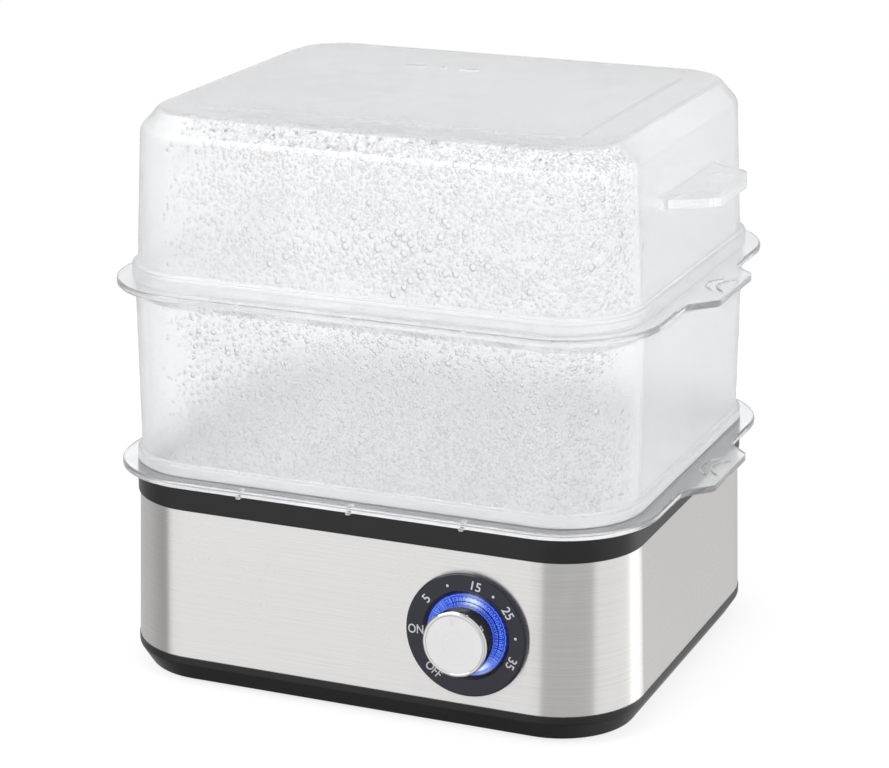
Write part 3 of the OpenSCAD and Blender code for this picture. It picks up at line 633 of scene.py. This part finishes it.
@dataclass(frozen=True)
class ClearPlastic(Finish):
    """Hazy clear plastic, with beads of water on the inner skin if it is wet, their rims darkened by painted
    shade.

    The wet zone fades in from wet_back to wet_front along Y, and in from wet_left and wet_right along X.
    Big drops gather round drops_at. half_way_out, lean, foot_z and half_way_up say where the middle of the
    wall lies, so that only the inner skin gets wet.
    """

    haze: float = 0.16
    wet: float = 0.0
    drop_size: float = 0.0020
    drops_at: Point = (0.030, -0.080, 0.215)
    drops_reach: float = 0.055
    drops_core: float = 0.010
    few_big: float = 0.12
    many_big: float = 0.75
    # the beads' rims get painted shade that stands in for their refraction: this share of this colour
    rim_shade_strength: float = 0.6
    rim_painted_shade: Colour = (0.56, 0.58, 0.60)
    bead_gloss: float = -0.11
    bead_rise: float = 2.2
    clearest: float = 0.09
    mattest: float = 0.26
    matt_edge: float = 0.0
    edge_width: float = 0.0007
    half_way_out: float = 0.034
    lean: float = 0.0
    foot_z: float = 0.0
    half_way_up: float = 1.0
    middle_y: float = 0.0047
    wet_front: float = -0.086
    wet_back: float = -0.040
    wet_left: float = -0.118
    wet_right: float = 0.112
    left_fade: float = 0.045
    right_fade: float = 0.022
    wander: float = 0.03
    bump_depth: float = 0.0006
    light_through: Colour = (0.94, 0.945, 0.955)

    def vary(self, net: Net, shader: Node) -> None:
        """Adds the haze, the flow lines and the water.

        Args:
            net: the material's nodes.
            shader: its Principled BSDF.
        """
        place = net.place()
        flow = net.noise(net.vector("MULTIPLY", place, (5.0, 5.0, 2.0)), 3.0, 3.0)
        fine = net.noise(place, 2600.0, 2.0)
        smudge = Effect.SMUDGES.use(net, Scale=18.0)
        rough = net.line(flow, 0.10, self.roughness - 0.05)
        rough = net.line(smudge["Mask"], 0.05, rough)
        tint = net.colours(net.ramp(flow, 0.3, 0.7), self.colour, self.toned(0.985))
        height = net.product(fine, 0.02)
        if self.wet > 0:
            where = self.wet_zone(net, place)
            rim, body, rise = self.beads(net, place, where)
            fog = net.product(where, net.math("SUBTRACT", 1.0, body))
            # painted shade: the beads' rims are tinted darker, standing in for their refraction
            tint = net.colours(net.product(rim, self.rim_shade_strength), tint, self.rim_painted_shade)
            rough = net.line(fog, 0.04, net.line(body, self.bead_gloss, rough))
            height = net.math("ADD", height, net.product(rise, self.bead_rise))
        rough = net.math("MINIMUM", rough, self.mattest)
        if self.matt_edge > 0:
            edge = Effect.EDGE_SHINE.use(net, Width=self.edge_width)
            rough = net.line(edge["Mask"], self.matt_edge, rough)
        net.fill(
            shader,
            Base_Color=tint,
            Roughness=net.math("MAXIMUM", rough, self.clearest),
            Normal=net.bump(height, self.bump_depth),
            IOR=1.49,
            Transmission_Weight=1.0 - self.haze,
        )

    def wet_zone(self, net: Net, place: Socket) -> Socket:
        """Masks the part of the inner skin that is wet.

        Args:
            net: the material's nodes.
            place: the point on the piece.

        Returns:
            1 where it is wet, fading to 0.
        """
        skin = Effect.INNER_SKIN.use(
            net, Half_Way_Out=self.half_way_out, Lean=self.lean, Foot_Z=self.foot_z,
            Half_Way_Up=self.half_way_up, Middle_Y=self.middle_y,
        )
        x, y, _ = net.parts(place)
        strayed = net.line(net.noise(place, 35.0, 2.0), self.wander, -self.wander / 2)
        along = net.math("ADD", x, strayed)
        front = net.ramp(net.math("ADD", y, strayed), self.wet_back, self.wet_front)
        left = net.ramp(along, self.wet_left, self.wet_left + self.left_fade)
        right = net.ramp(along, self.wet_right, self.wet_right - self.right_fade)
        return net.product(front, net.product(left, right), skin["Mask"])

    def beads(self, net: Net, place: Socket, where: Socket) -> list[Socket]:
        """Scatters beads of water over the wet zone.

        Args:
            net: the material's nodes.
            place: the point on the piece.
            where: the wet zone's mask.

        Returns:
            Masks of the beads' rims and of whole beads, and the beads' height.
        """
        wet = net.product(where, self.wet)
        arm = net.vector("MULTIPLY", net.vector("SUBTRACT", place, self.drops_at), (1.0, 0.3, 1.3))
        away = net.vector("LENGTH", arm)
        big = net.ramp(away, self.drops_reach, self.drops_core, self.few_big, self.many_big)
        beads = Effect.CONDENSATION.use(
            net, Size=self.drop_size, Amount=wet, Big_Drops=net.product(wet, big)
        )
        skinned = net.ramp(where, 0.0, 0.05)
        return [net.product(beads[name], skinned) for name in ("Rim", "Body", "Height")]

    def shown(self, net: Net, shader: Node) -> Socket:
        """Lets shadow rays pass, so that the lamps light what stands inside and behind the plastic.

        Args:
            net: the material's nodes.
            shader: its Principled BSDF.

        Returns:
            The shading that goes to the material's output.
        """
        through = net.put("ShaderNodeBsdfTransparent", rgba(self.light_through))[0]
        shadow = net.add("ShaderNodeLightPath").outputs["Is Shadow Ray"]
        return net.put("ShaderNodeMixShader", shadow, shader.outputs[0], through)[0]


@dataclass(frozen=True)
class SheetMetal(Finish):
    """Plain metal with fine scratches, a mottled tone and a few stains."""

    mottle: float = 60.0
    stain: Colour = (0.42, 0.40, 0.37)
    stain_share: float = 0.25
    scratch_depth: float = 0.00002

    def vary(self, net: Net, shader: Node) -> None:
        """Adds the mottle, the stains and the scratches.

        Args:
            net: the material's nodes.
            shader: its Principled BSDF.
        """
        place = net.place()
        mottle = net.noise(place, self.mottle, 4.0, 0.6)
        smudge = Effect.SMUDGES.use(net, Scale=self.mottle * 0.5)
        scratch = net.noise(net.vector("MULTIPLY", place, (1.0, 0.12, 0.4)), 2600.0, 2.0)
        base = net.colours(net.ramp(mottle, 0.3, 0.7), self.colour, self.toned(0.88))
        rough = net.line(mottle, 0.16, self.roughness - 0.08)
        net.fill(
            shader,
            Base_Color=net.colours(net.product(smudge["Mask"], self.stain_share), base, self.stain),
            Roughness=net.line(scratch, 0.06, rough),
            Normal=net.bump(scratch, self.scratch_depth),
        )


@dataclass(frozen=True)
class PolishedMetal(Finish):
    """Turned and polished metal with faint rings about an axis."""

    centre: Point = ORIGIN
    axis: Point = UP_AXIS
    rings: float = 5200.0
    ring_depth: float = 0.000004

    def vary(self, net: Net, shader: Node) -> None:
        """Adds the rings and the marks of handling.

        Args:
            net: the material's nodes.
            shader: its Principled BSDF.
        """
        rings = Effect.TURNED_RINGS.use(net, Centre=self.centre, Axis=self.axis, Rings=self.rings)
        smudge = Effect.SMUDGES.use(net, Scale=90.0)
        shade = net.ramp(rings["Height"], 0.3, 0.7, 0.0, 0.5)
        rough = net.line(rings["Height"], 0.08, self.roughness - 0.04)
        net.fill(
            shader,
            Base_Color=net.colours(shade, self.colour, self.toned(0.9)),
            Roughness=net.line(smudge["Mask"], 0.06, rough),
            Normal=net.bump(rings["Height"], self.ring_depth),
        )


@dataclass(frozen=True)
class LitAcrylic(Finish):
    """Clear acrylic lit from behind: fine teeth, a row of beads and a bright rim, hotter by two lamps.

    Each band is its inner and outer radius in millimetres, and the angles are in degrees from the top.
    """

    centre: Point = ORIGIN
    up: Point = UP_AXIS
    teeth: int = 104
    beads: int = 60
    lit_band: Band = (14.9, 18.0)
    tooth_band: Band = (15.0, 16.2)
    long_tooth_band: Band = (15.0, 17.6)
    hot_band: Band = (15.0, 16.6)
    dark_band: Band = (16.22, 16.42)
    bead_band: Band = (16.5, 16.85)
    rim_band: Band = (17.7, 17.92)
    hot_angles: tuple[float, ...] = (11.0, 154.0)
    long_tooth_angles: tuple[float, ...] = (-52.0, 136.0)
    deep: Colour = (0.000, 0.010, 0.24)
    glow: Colour = (0.002, 0.045, 0.80)
    pale: Colour = (0.22, 0.42, 1.0)
    hot: Colour = (0.95, 1.10, 1.20)
    lit_lines: Colour = (0.04, 0.08, 0.25)
    line_height: float = 0.12 * MM

    def band(self, net: Net, radius: Socket, span: Band, soft: float = 0.08) -> Socket:
        """Masks a ring-shaped band.

        Args:
            net: the material's nodes.
            radius: distance from the dial's axis, in metres.
            span: the band.
            soft: width of its soft edges in millimetres.

        Returns:
            1 in the band and 0 outside it.
        """
        low, high = span
        rise = net.ramp(radius, (low - soft) * MM, (low + soft) * MM)
        fall = net.ramp(radius, (high + soft) * MM, (high - soft) * MM)
        return net.product(rise, fall)

    def near(self, net: Net, angle: Socket, degrees: Iterable[float], sharpness: float) -> Socket:
        """Masks the places near some angles about the dial's axis.

        Args:
            net: the material's nodes.
            angle: the angle from the top, in radians.
            degrees: the angles to mask.
            sharpness: how fast the mask falls off.

        Returns:
            1 at an angle, less beside it.
        """
        mask = 0.0
        for target in degrees:
            turn = net.math("COSINE", net.math("SUBTRACT", angle, math.radians(target)))
            mask = net.math("MAXIMUM", mask, net.math("POWER", net.math("MAXIMUM", turn, 0.0), sharpness))
        return mask

    def vary(self, net: Net, shader: Node) -> None:
        """Adds the teeth, the beads, the rim and the glow over the lamps.

        Args:
            net: the material's nodes.
            shader: its Principled BSDF.
        """
        dial = Effect.DIAL_FRAME.use(net, Centre=self.centre, Up=self.up)
        radius, angle = dial["Radius"], dial["Angle"]
        ribs = net.ramp(net.math("SINE", net.product(angle, float(self.teeth))), -0.35, 0.55)
        dots = net.ramp(net.math("SINE", net.product(angle, float(self.beads))), -0.1, 0.5)
        here = self.near(net, angle, self.long_tooth_angles, 9.0)
        long_teeth = net.product(here, self.band(net, radius, self.long_tooth_band))
        teeth = net.product(ribs, net.math("MAXIMUM", self.band(net, radius, self.tooth_band), long_teeth))
        beads = net.product(dots, self.band(net, radius, self.bead_band, 0.05))
        rim = self.band(net, radius, self.rim_band, 0.06)
        lines = net.math("MAXIMUM", net.math("MAXIMUM", beads, rim), net.product(teeth, 0.85))
        bright = net.math("SUBTRACT", 1.0, self.band(net, radius, self.dark_band))
        body = net.product(self.band(net, radius, self.lit_band, 0.12), bright)
        base = net.colours(net.product(body, 0.8), self.deep, self.glow)
        base = net.colours(net.product(lines, 0.8), base, self.pale)
        heat = self.near(net, angle, self.hot_angles, 30.0)
        spot = net.product(heat, net.line(self.band(net, radius, self.hot_band, 0.4), 0.65, 0.25))
        net.fill(
            shader,
            Base_Color=net.colours(lines, self.colour, self.lit_lines),
            Normal=net.bump(lines, self.line_height),
            Emission_Color=net.colours(spot, base, self.hot),
            Emission_Strength=0.8,
            Coat_Weight=0.2,
            Coat_Roughness=0.05,
        )


ZINC = SheetMetal("zinc_plate", (0.62, 0.62, 0.61), 0.32, 1.0)
BRASS = SheetMetal("tinned_brass", (0.72, 0.60, 0.36), 0.3, 1.0)
NYLON = MouldedPlastic("white_nylon", (0.72, 0.70, 0.64), 0.5, edge=(0.8, 0.78, 0.72))


@dataclass(frozen=True)
class DialFrame:
    """Centre and directions of the timer dial, read from the joint that turns its knob."""

    centre: Vector
    outward: Vector

    @staticmethod
    def from_joint(name: str) -> "DialFrame":
        """Reads the frame from a joint of the record.

        Args:
            name: the joint's name.

        Returns:
            The frame.
        """
        joint = next(entry for entry in frame["joints"] if entry["name"] == name)
        return DialFrame(Vector(joint["pos_m"]), Vector(joint["axis"]).normalized())

    @property
    def up(self) -> Vector:
        """Direction up the leaning face."""
        return Vector(RIGHT_AXIS).cross(self.outward).normalized() * -1.0

    def matrix(self) -> Matrix:
        """Matrix from the dial's own axes, right, up and outward, to the part's."""
        turn = Matrix((RIGHT_AXIS, self.up, self.outward)).transposed().to_4x4()
        return Matrix.Translation(self.centre) @ turn


class Printing(Enum):
    """How a mark on the dial is turned: outward, inward, or along the radius."""

    OUTWARD = 0.0
    INWARD = 180.0
    ALONG = 90.0


@dataclass(frozen=True)
class DialMark:
    """One mark on the dial: its text, or none for a dot, its angle from the top, its turn and its width."""

    text: str
    angle: float
    printing: Printing = Printing.OUTWARD
    width: float = 1.0


def paint(nodes: Iterable[str], finish: Finish) -> None:
    """Puts a finish on CAD nodes.

    Args:
        nodes: the nodes' names.
        finish: their finish.
    """
    for name in nodes:
        piece = frame["nodes"][name]
        material = finish.material()
        for slot in piece.material_slots:
            slot.material = material
        LOG.info("%s has finish %s", name, finish.name)


def add_piece(name: str, mesh: bpy.types.Mesh, body: str, finish: Finish) -> None:
    """Adds a piece of this script's own to the part.

    Args:
        name: the piece's name.
        mesh: its mesh in the part's frame.
        body: the CAD body that it rides on.
        finish: its finish.
    """
    piece = linked(name, mesh)
    mesh.materials.append(finish.material())
    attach(piece, body)
    LOG.info("%s rides on %s: %d faces", name, body, len(mesh.polygons))


@dataclass
class BaseHousing:
    """Shell, sleeve, ring, feet and the screws under the base."""

    steel: Finish = BrushedSteel("brushed_steel", (0.83, 0.82, 0.805), 0.23, 1.0)
    black: Finish = MouldedPlastic("black_moulding", (0.010, 0.010, 0.011), 0.34, gloss=0.35)
    foot_rubber: Finish = MouldedPlastic("foot_rubber", (0.020, 0.020, 0.020), 0.75, grain=1600.0, dust=0.6)

    def dress(self) -> None:
        """Finishes the housing's nodes."""
        paint(["steel_sleeve", "rear_panel"], self.steel)
        paint(["base_shell", "top_ring"], self.black)
        paint(["rubber_feet"], self.foot_rubber)
        paint(["base_screws"], ZINC)


@dataclass
class HeatedPan:
    """Water pan, its gasket, and the heater, thermostat and fuse under it."""

    aluminium: Finish = SheetMetal("pan_aluminium", (0.66, 0.665, 0.67), 0.30, 1.0, mottle=35.0)
    cast: Finish = SheetMetal(
        "cast_aluminium", (0.50, 0.50, 0.50), 0.5, 1.0, mottle=150.0, scratch_depth=0.00006
    )
    silicone: Finish = MouldedPlastic("grey_silicone", (0.42, 0.42, 0.40), 0.6, edge=(0.5, 0.5, 0.48))
    tube: Finish = SheetMetal(
        "heater_tube", (0.38, 0.34, 0.30), 0.42, 0.9, stain=(0.16, 0.12, 0.16), stain_share=0.6
    )
    phenolic: Finish = MouldedPlastic("black_phenolic", (0.03, 0.03, 0.033), 0.45, edge=(0.08, 0.08, 0.08))
    tin: Finish = SheetMetal("tinned_case", (0.66, 0.64, 0.58), 0.3, 1.0)

    def dress(self) -> None:
        """Finishes the pan's nodes."""
        paint(["heating_pan"], self.aluminium)
        paint(["heat_plate"], self.cast)
        paint(["pan_gasket"], self.silicone)
        paint(["heater_ring"], self.tube)
        paint(["plate_nuts", "thermostat_screws", "fuse_clip"], ZINC)
        paint(["heater_terminals"], BRASS)
        paint(["thermostat"], self.phenolic)
        paint(["thermal_fuse"], self.tin)


@dataclass
class TimerDial:
    """Dial plate with its print, lit ring, knob and the timer behind them."""

    dial: DialFrame = field(default_factory=lambda: DialFrame.from_joint("timer_turn"))
    plate_face: float = 2.6 * MM
    mark_radius: float = 22.8 * MM
    cap_height: float = 4.1 * MM
    cap_share: float = 0.72
    boldness: float = 0.012
    ink_height: float = 0.05 * MM
    ink_sunk: float = 0.01 * MM
    dot_radius: float = 0.62 * MM
    dot_sides: int = 24
    marks: tuple[DialMark, ...] = (
        DialMark("ON", -91.6, Printing.ALONG, 0.82),
        DialMark("5", -52.2),
        DialMark("", -22.0),
        DialMark("15", 10.4),
        DialMark("", 32.7),
        DialMark("25", 56.2),
        DialMark("", 85.1),
        DialMark("35", 114.1),
        DialMark("OFF", -140.7, Printing.INWARD, 0.82),
    )

    def text_mesh(self, mark: DialMark) -> bpy.types.Mesh:
        """Turns a mark's text into a thin flat mesh, centred on the origin.

        Args:
            mark: the mark.

        Returns:
            Its mesh in the dial's own axes.
        """
        curve = bpy.data.curves.new("dial_text", "FONT")
        curve.body = mark.text
        curve.align_x = "CENTER"
        curve.align_y = "CENTER"
        curve.size = self.cap_height / self.cap_share
        curve.extrude = self.ink_height / 2
        curve.offset = self.boldness * self.cap_height
        holder = linked("dial_text", curve)
        bpy.context.view_layer.update()
        mesh = bpy.data.meshes.new_from_object(holder.evaluated_get(bpy.context.evaluated_depsgraph_get()))
        mesh.transform(Matrix.Diagonal((mark.width, 1.0, 1.0, 1.0)))
        bpy.data.objects.remove(holder)
        bpy.data.curves.remove(curve)
        return mesh

    def dot_mesh(self) -> bpy.types.Mesh:
        """Makes the low dome of ink between two numbers.

        Returns:
            Its mesh in the dial's own axes.
        """
        shape = bmesh.new()
        turns = [2 * math.pi * side / self.dot_sides for side in range(self.dot_sides)]
        rings = []
        for share, height in ((1.0, -0.5), (0.96, 0.2), (0.7, 0.5)):
            radius, level = share * self.dot_radius, height * self.ink_height
            rings.append([
                shape.verts.new((radius * math.cos(turn), radius * math.sin(turn), level)) for turn in turns
            ])
        for low, high in zip(rings, rings[1:]):
            for side in range(self.dot_sides):
                after = (side + 1) % self.dot_sides
                shape.faces.new((low[side], low[after], high[after], high[side]))
        shape.faces.new(rings[-1])
        shape.faces.new(list(reversed(rings[0])))
        return mesh_of("dial_dot", shape)

    def build(self) -> None:
        """Prints the numbers, the words and the dots on the dial plate as one thin piece."""
        print_shape = bmesh.new()
        for mark in self.marks:
            mesh = self.text_mesh(mark) if mark.text else self.dot_mesh()
            angle = math.radians(mark.angle)
            spot = Vector((math.sin(angle), math.cos(angle), 0.0)) * self.mark_radius
            spot.z = self.plate_face + self.ink_height / 2 - self.ink_sunk
            turn = math.radians(mark.angle + mark.printing.value)
            mesh.transform(Matrix.Translation(spot) @ Matrix.Rotation(-turn, 4, "Z"))
            print_shape.from_mesh(mesh)
            bpy.data.meshes.remove(mesh)
        joined = mesh_of("dial_print", print_shape)
        joined.transform(self.dial.matrix())
        ink = MouldedPlastic(
            "grey_ink", (0.52, 0.52, 0.56), 0.45, grain=3000.0, edge=(0.6, 0.6, 0.62), dust=0.0
        )
        add_piece("dial_print", joined, "base", ink)

    def dress(self) -> None:
        """Finishes the dial's nodes."""
        centre = tuple(self.dial.centre)
        axis = tuple(self.dial.outward)
        up = tuple(self.dial.up)
        paint(["dial_plate"], MouldedPlastic(
            "gloss_black", (0.010, 0.010, 0.020), 0.16, grain=900.0, grain_depth=0.000004,
            edge=(0.03, 0.028, 0.03), dust=0.1, coat=0.3, gloss=0.35,
        ))
        paint(["light_ring"], LitAcrylic("lit_acrylic", (0.004, 0.012, 0.08), 0.18, centre=centre, up=up))
        paint(["timer_knob"], PolishedMetal(
            "polished_knob", (0.86, 0.86, 0.87), 0.05, 1.0, centre, axis, ring_depth=0.000001
        ))
        paint(["knob_face"], PolishedMetal(
            "satin_disc", (0.88, 0.88, 0.885), 0.42, 0.7, centre, axis, 2600.0, 0.000004
        ))
        paint(["control_bracket", "bracket_screws", "timer_screws", "timer_shaft"], ZINC)
        paint(["timer_body"], NYLON)
        paint(["led_board"], MouldedPlastic("green_board", (0.03, 0.20, 0.07), 0.35, edge=(0.2, 0.3, 0.15)))
        paint(["led_chips"], MouldedPlastic("chip_resin", (0.80, 0.78, 0.60), 0.25, edge=(0.8, 0.8, 0.7)))


@dataclass
class CordEntry:
    """Rubber gland in the back of the sleeve and the terminal block inside it."""

    rubber: Finish = MouldedPlastic("gland_rubber", (0.018, 0.018, 0.018), 0.62, grain=1800.0, dust=0.5)

    def dress(self) -> None:
        """Finishes the gland and the block."""
        paint(["cord_gland"], self.rubber)
        paint(["terminal_block"], NYLON)
        paint(["terminal_screws"], BRASS)


@dataclass
class SteamTiers:
    """The two trays, the open container and the lid, all in hazy clear plastic."""

    tray_tint: Colour = (0.972, 0.975, 0.982)
    container_tint: Colour = (0.995, 0.996, 0.998)
    lid_tint: Colour = (0.958, 0.961, 0.966)
    container_foot: float = 0.0982
    lid_foot: float = 0.1816
    lid_under: float = 0.2560

    def dress(self) -> None:
        """Finishes the trays, the container and the lid, with water beads inside the last two."""
        paint(["lower_tray", "upper_tray"], ClearPlastic(
            "tray_plastic", self.tray_tint, 0.06, haze=0.09, clearest=0.03, matt_edge=0.4
        ))
        paint(["steam_container"], ClearPlastic(
            "container_plastic", self.container_tint, 0.22, haze=0.23, wet=0.85, rim_shade_strength=0.65,
            drop_size=0.0018, drops_at=(-0.055, -0.080, 0.155), few_big=0.06, many_big=0.5,
            wet_left=-0.100, wet_right=0.122, half_way_out=0.0339, lean=0.0106, foot_z=self.container_foot,
        ))
        paint(["lid"], ClearPlastic(
            "lid_plastic", self.lid_tint, 0.21, haze=0.24, wet=0.92, wet_left=-0.098, wet_right=0.124,
            half_way_out=0.0334, lean=-0.044, foot_z=self.lid_foot, half_way_up=self.lid_under,
        ))


@dataclass(frozen=True)
class Softbox:
    """A soft lamp that looks at the part from a direction and a distance."""

    name: str
    azimuth: float
    elevation: float
    distance: float
    width: float
    height: float
    power: float
    mirrored: bool = True

    def build(self, aim: Vector) -> None:
        """Adds the lamp.

        Args:
            aim: the point that it looks at.
        """
        lamp = bpy.data.lights.new(self.name, "AREA")
        lamp.shape = "RECTANGLE"
        lamp.size = self.width
        lamp.size_y = self.height
        lamp.energy = self.power
        holder = linked(self.name, lamp)
        turn, rise = math.radians(self.azimuth), math.radians(self.elevation)
        level = math.cos(rise)
        away = Vector((math.sin(turn) * level, -math.cos(turn) * level, math.sin(rise)))
        holder.location = aim + away * self.distance
        holder.rotation_euler = (-away).to_track_quat("-Z", "Y").to_euler()
        holder.visible_camera = False
        holder.visible_glossy = self.mirrored
        LOG.info("lamp %s", self.name)


@dataclass
class Studio:
    """Pale floor, white surroundings, soft lamps and the camera."""

    camera_at: Point = (0.47934, -1.14661, 0.50909)
    camera_aim: Point = (-0.00043, 0.00450, 0.12119)
    lens: float = 116.03
    lamp_aim: Point = (0.0, 0.0, 0.12)
    floor_half: float = 6.0
    shadow_reach: float = 0.8
    shadow_core: float = 0.35
    paper_shade: float = 0.82
    shadow_shade: float = 0.28
    shadow_lift: float = 0.78
    air: float = 0.58
    brightest: float = 1.4
    surroundings: tuple[tuple[float, float], ...] = (
        (-180.0, 0.62), (-96.0, 0.52), (-58.0, 0.34), (-51.0, 0.88), (-8.0, 0.88), (-2.0, 0.55),
        (62.0, 0.57), (69.0, 0.92), (121.0, 0.92), (127.0, 1.35), (150.0, 1.35), (155.0, 0.62),
        (180.0, 0.62),
    )
    lamps: tuple[Softbox, ...] = (
        Softbox("key_softbox", -38.0, 36.0, 1.6, 1.1, 1.1, 11.0),
        Softbox("fill_softbox", 62.0, 24.0, 1.8, 1.0, 1.2, 13.5, mirrored=False),
        Softbox("top_softbox", 10.0, 82.0, 1.5, 1.2, 1.2, 3.5, mirrored=False),
    )

    def around(self, net: Net, x: Socket, y: Socket) -> Socket:
        """Brightness of the surroundings by direction, as metal and glossy plastic show them.

        Args:
            net: the nodes to add to.
            x: the direction's share to the right.
            y: its share to the back.

        Returns:
            The brightness.
        """
        angle = net.math("ARCTAN2", x, net.product(y, -1.0))
        share = net.line(angle, 1 / (2 * math.pi), 0.5)
        ramp = net.add("ShaderNodeValToRGB")
        net.feed(ramp.inputs[0], share)
        ramp.color_ramp.interpolation = "LINEAR"
        stops = ramp.color_ramp.elements
        while len(stops) < len(self.surroundings):
            stops.new(0.5)
        for stop, (degrees, level) in zip(stops, self.surroundings):
            stop.position = degrees / 360 + 0.5
            stop.color = grey(level / self.brightest)
        return net.product(ramp.outputs[0], self.brightest)

    def build_world(self) -> None:
        """Makes white air for the camera and glass, walls for mirrors, and an even light for the rest."""
        world = bpy.data.worlds.new("studio_air")
        bpy.context.scene.world = world
        world.cycles.sampling_method = "NONE"
        net = bare_net(world)
        path = net.add("ShaderNodeLightPath").outputs
        x, y, z = net.parts(net.add("ShaderNodeTexCoord").outputs["Generated"])
        seen = net.math("MAXIMUM", path["Is Camera Ray"], path["Is Transmission Ray"])
        mirrored = net.product(self.around(net, x, y), net.ramp(z, -0.85, -0.50, 0.35, 1.0))
        change = net.math("SUBTRACT", mirrored, self.air)
        level = net.line(path["Is Glossy Ray"], change, self.air)
        level = net.line(seen, net.math("SUBTRACT", 1.0, level), level)
        net.put("ShaderNodeOutputWorld", net.put("ShaderNodeBackground", grey(1.0), level)[0])

    def floor_material(self) -> bpy.types.Material:
        """Makes the floor's paper: white to the camera but for the shadow, and clear to what mirrors it.

        Returns:
            The material.
        """
        material = bpy.data.materials.new("floor_paper")
        net = bare_net(material)
        path = net.add("ShaderNodeLightPath").outputs
        seen = net.math("MAXIMUM", path["Is Camera Ray"], path["Is Transmission Ray"])
        near = net.ramp(net.vector("LENGTH", net.place()), self.shadow_reach, self.shadow_core)
        paper = net.put("ShaderNodeBsdfDiffuse", grey(self.paper_shade))[0]
        shaded = net.put("ShaderNodeBsdfDiffuse", grey(self.shadow_shade))[0]
        lift = net.put("ShaderNodeEmission", grey(1.0), self.shadow_lift)[0]
        white = net.put("ShaderNodeEmission", grey(1.0), 1.0)[0]
        clear = net.put("ShaderNodeBsdfTransparent", grey(1.0))[0]
        shadow = net.put("ShaderNodeAddShader", shaded, lift)[0]
        shown = net.put("ShaderNodeMixShader", near, white, shadow)[0]
        other = net.put("ShaderNodeMixShader", path["Is Glossy Ray"], paper, clear)[0]
        net.put("ShaderNodeOutputMaterial", net.put("ShaderNodeMixShader", seen, other, shown)[0])
        return material

    def build_floor(self) -> None:
        """Makes the floor as one large level square."""
        shape = bmesh.new()
        half = self.floor_half
        outline = ((-half, -half, 0), (half, -half, 0), (half, half, 0), (-half, half, 0))
        shape.faces.new([shape.verts.new(corner) for corner in outline])
        floor = linked("studio_floor", mesh_of("studio_floor", shape))
        floor.data.materials.append(self.floor_material())

    def build_camera(self) -> None:
        """Sets up the camera at the viewing angle of the photograph, for a frame of 889 by 768."""
        data = bpy.data.cameras.new("studio_camera")
        data.sensor_fit = "HORIZONTAL"
        data.sensor_width = 36.0
        data.lens = self.lens
        data.clip_end = 60.0
        camera = linked("studio_camera", data)
        camera.location = self.camera_at
        away = Vector(self.camera_aim) - Vector(self.camera_at)
        camera.rotation_euler = away.to_track_quat("-Z", "Y").to_euler()
        bpy.context.scene.camera = camera

    def build(self) -> None:
        """Builds the whole studio."""
        self.build_world()
        self.build_floor()
        for lamp in self.lamps:
            lamp.build(Vector(self.lamp_aim))
        self.build_camera()
        bpy.context.scene.view_settings.view_transform = "Standard"


def main() -> None:
    """Builds the studio and dresses the part, one sub-assembly after another."""
    logging.basicConfig(level=logging.INFO, format="%(name)s: %(message)s")
    Studio().build()
    dial = TimerDial()
    dial.build()
    for assembly in (BaseHousing(), HeatedPan(), dial, CordEntry(), SteamTiers()):
        assembly.dress()


if __name__ == "__main__":
    main()
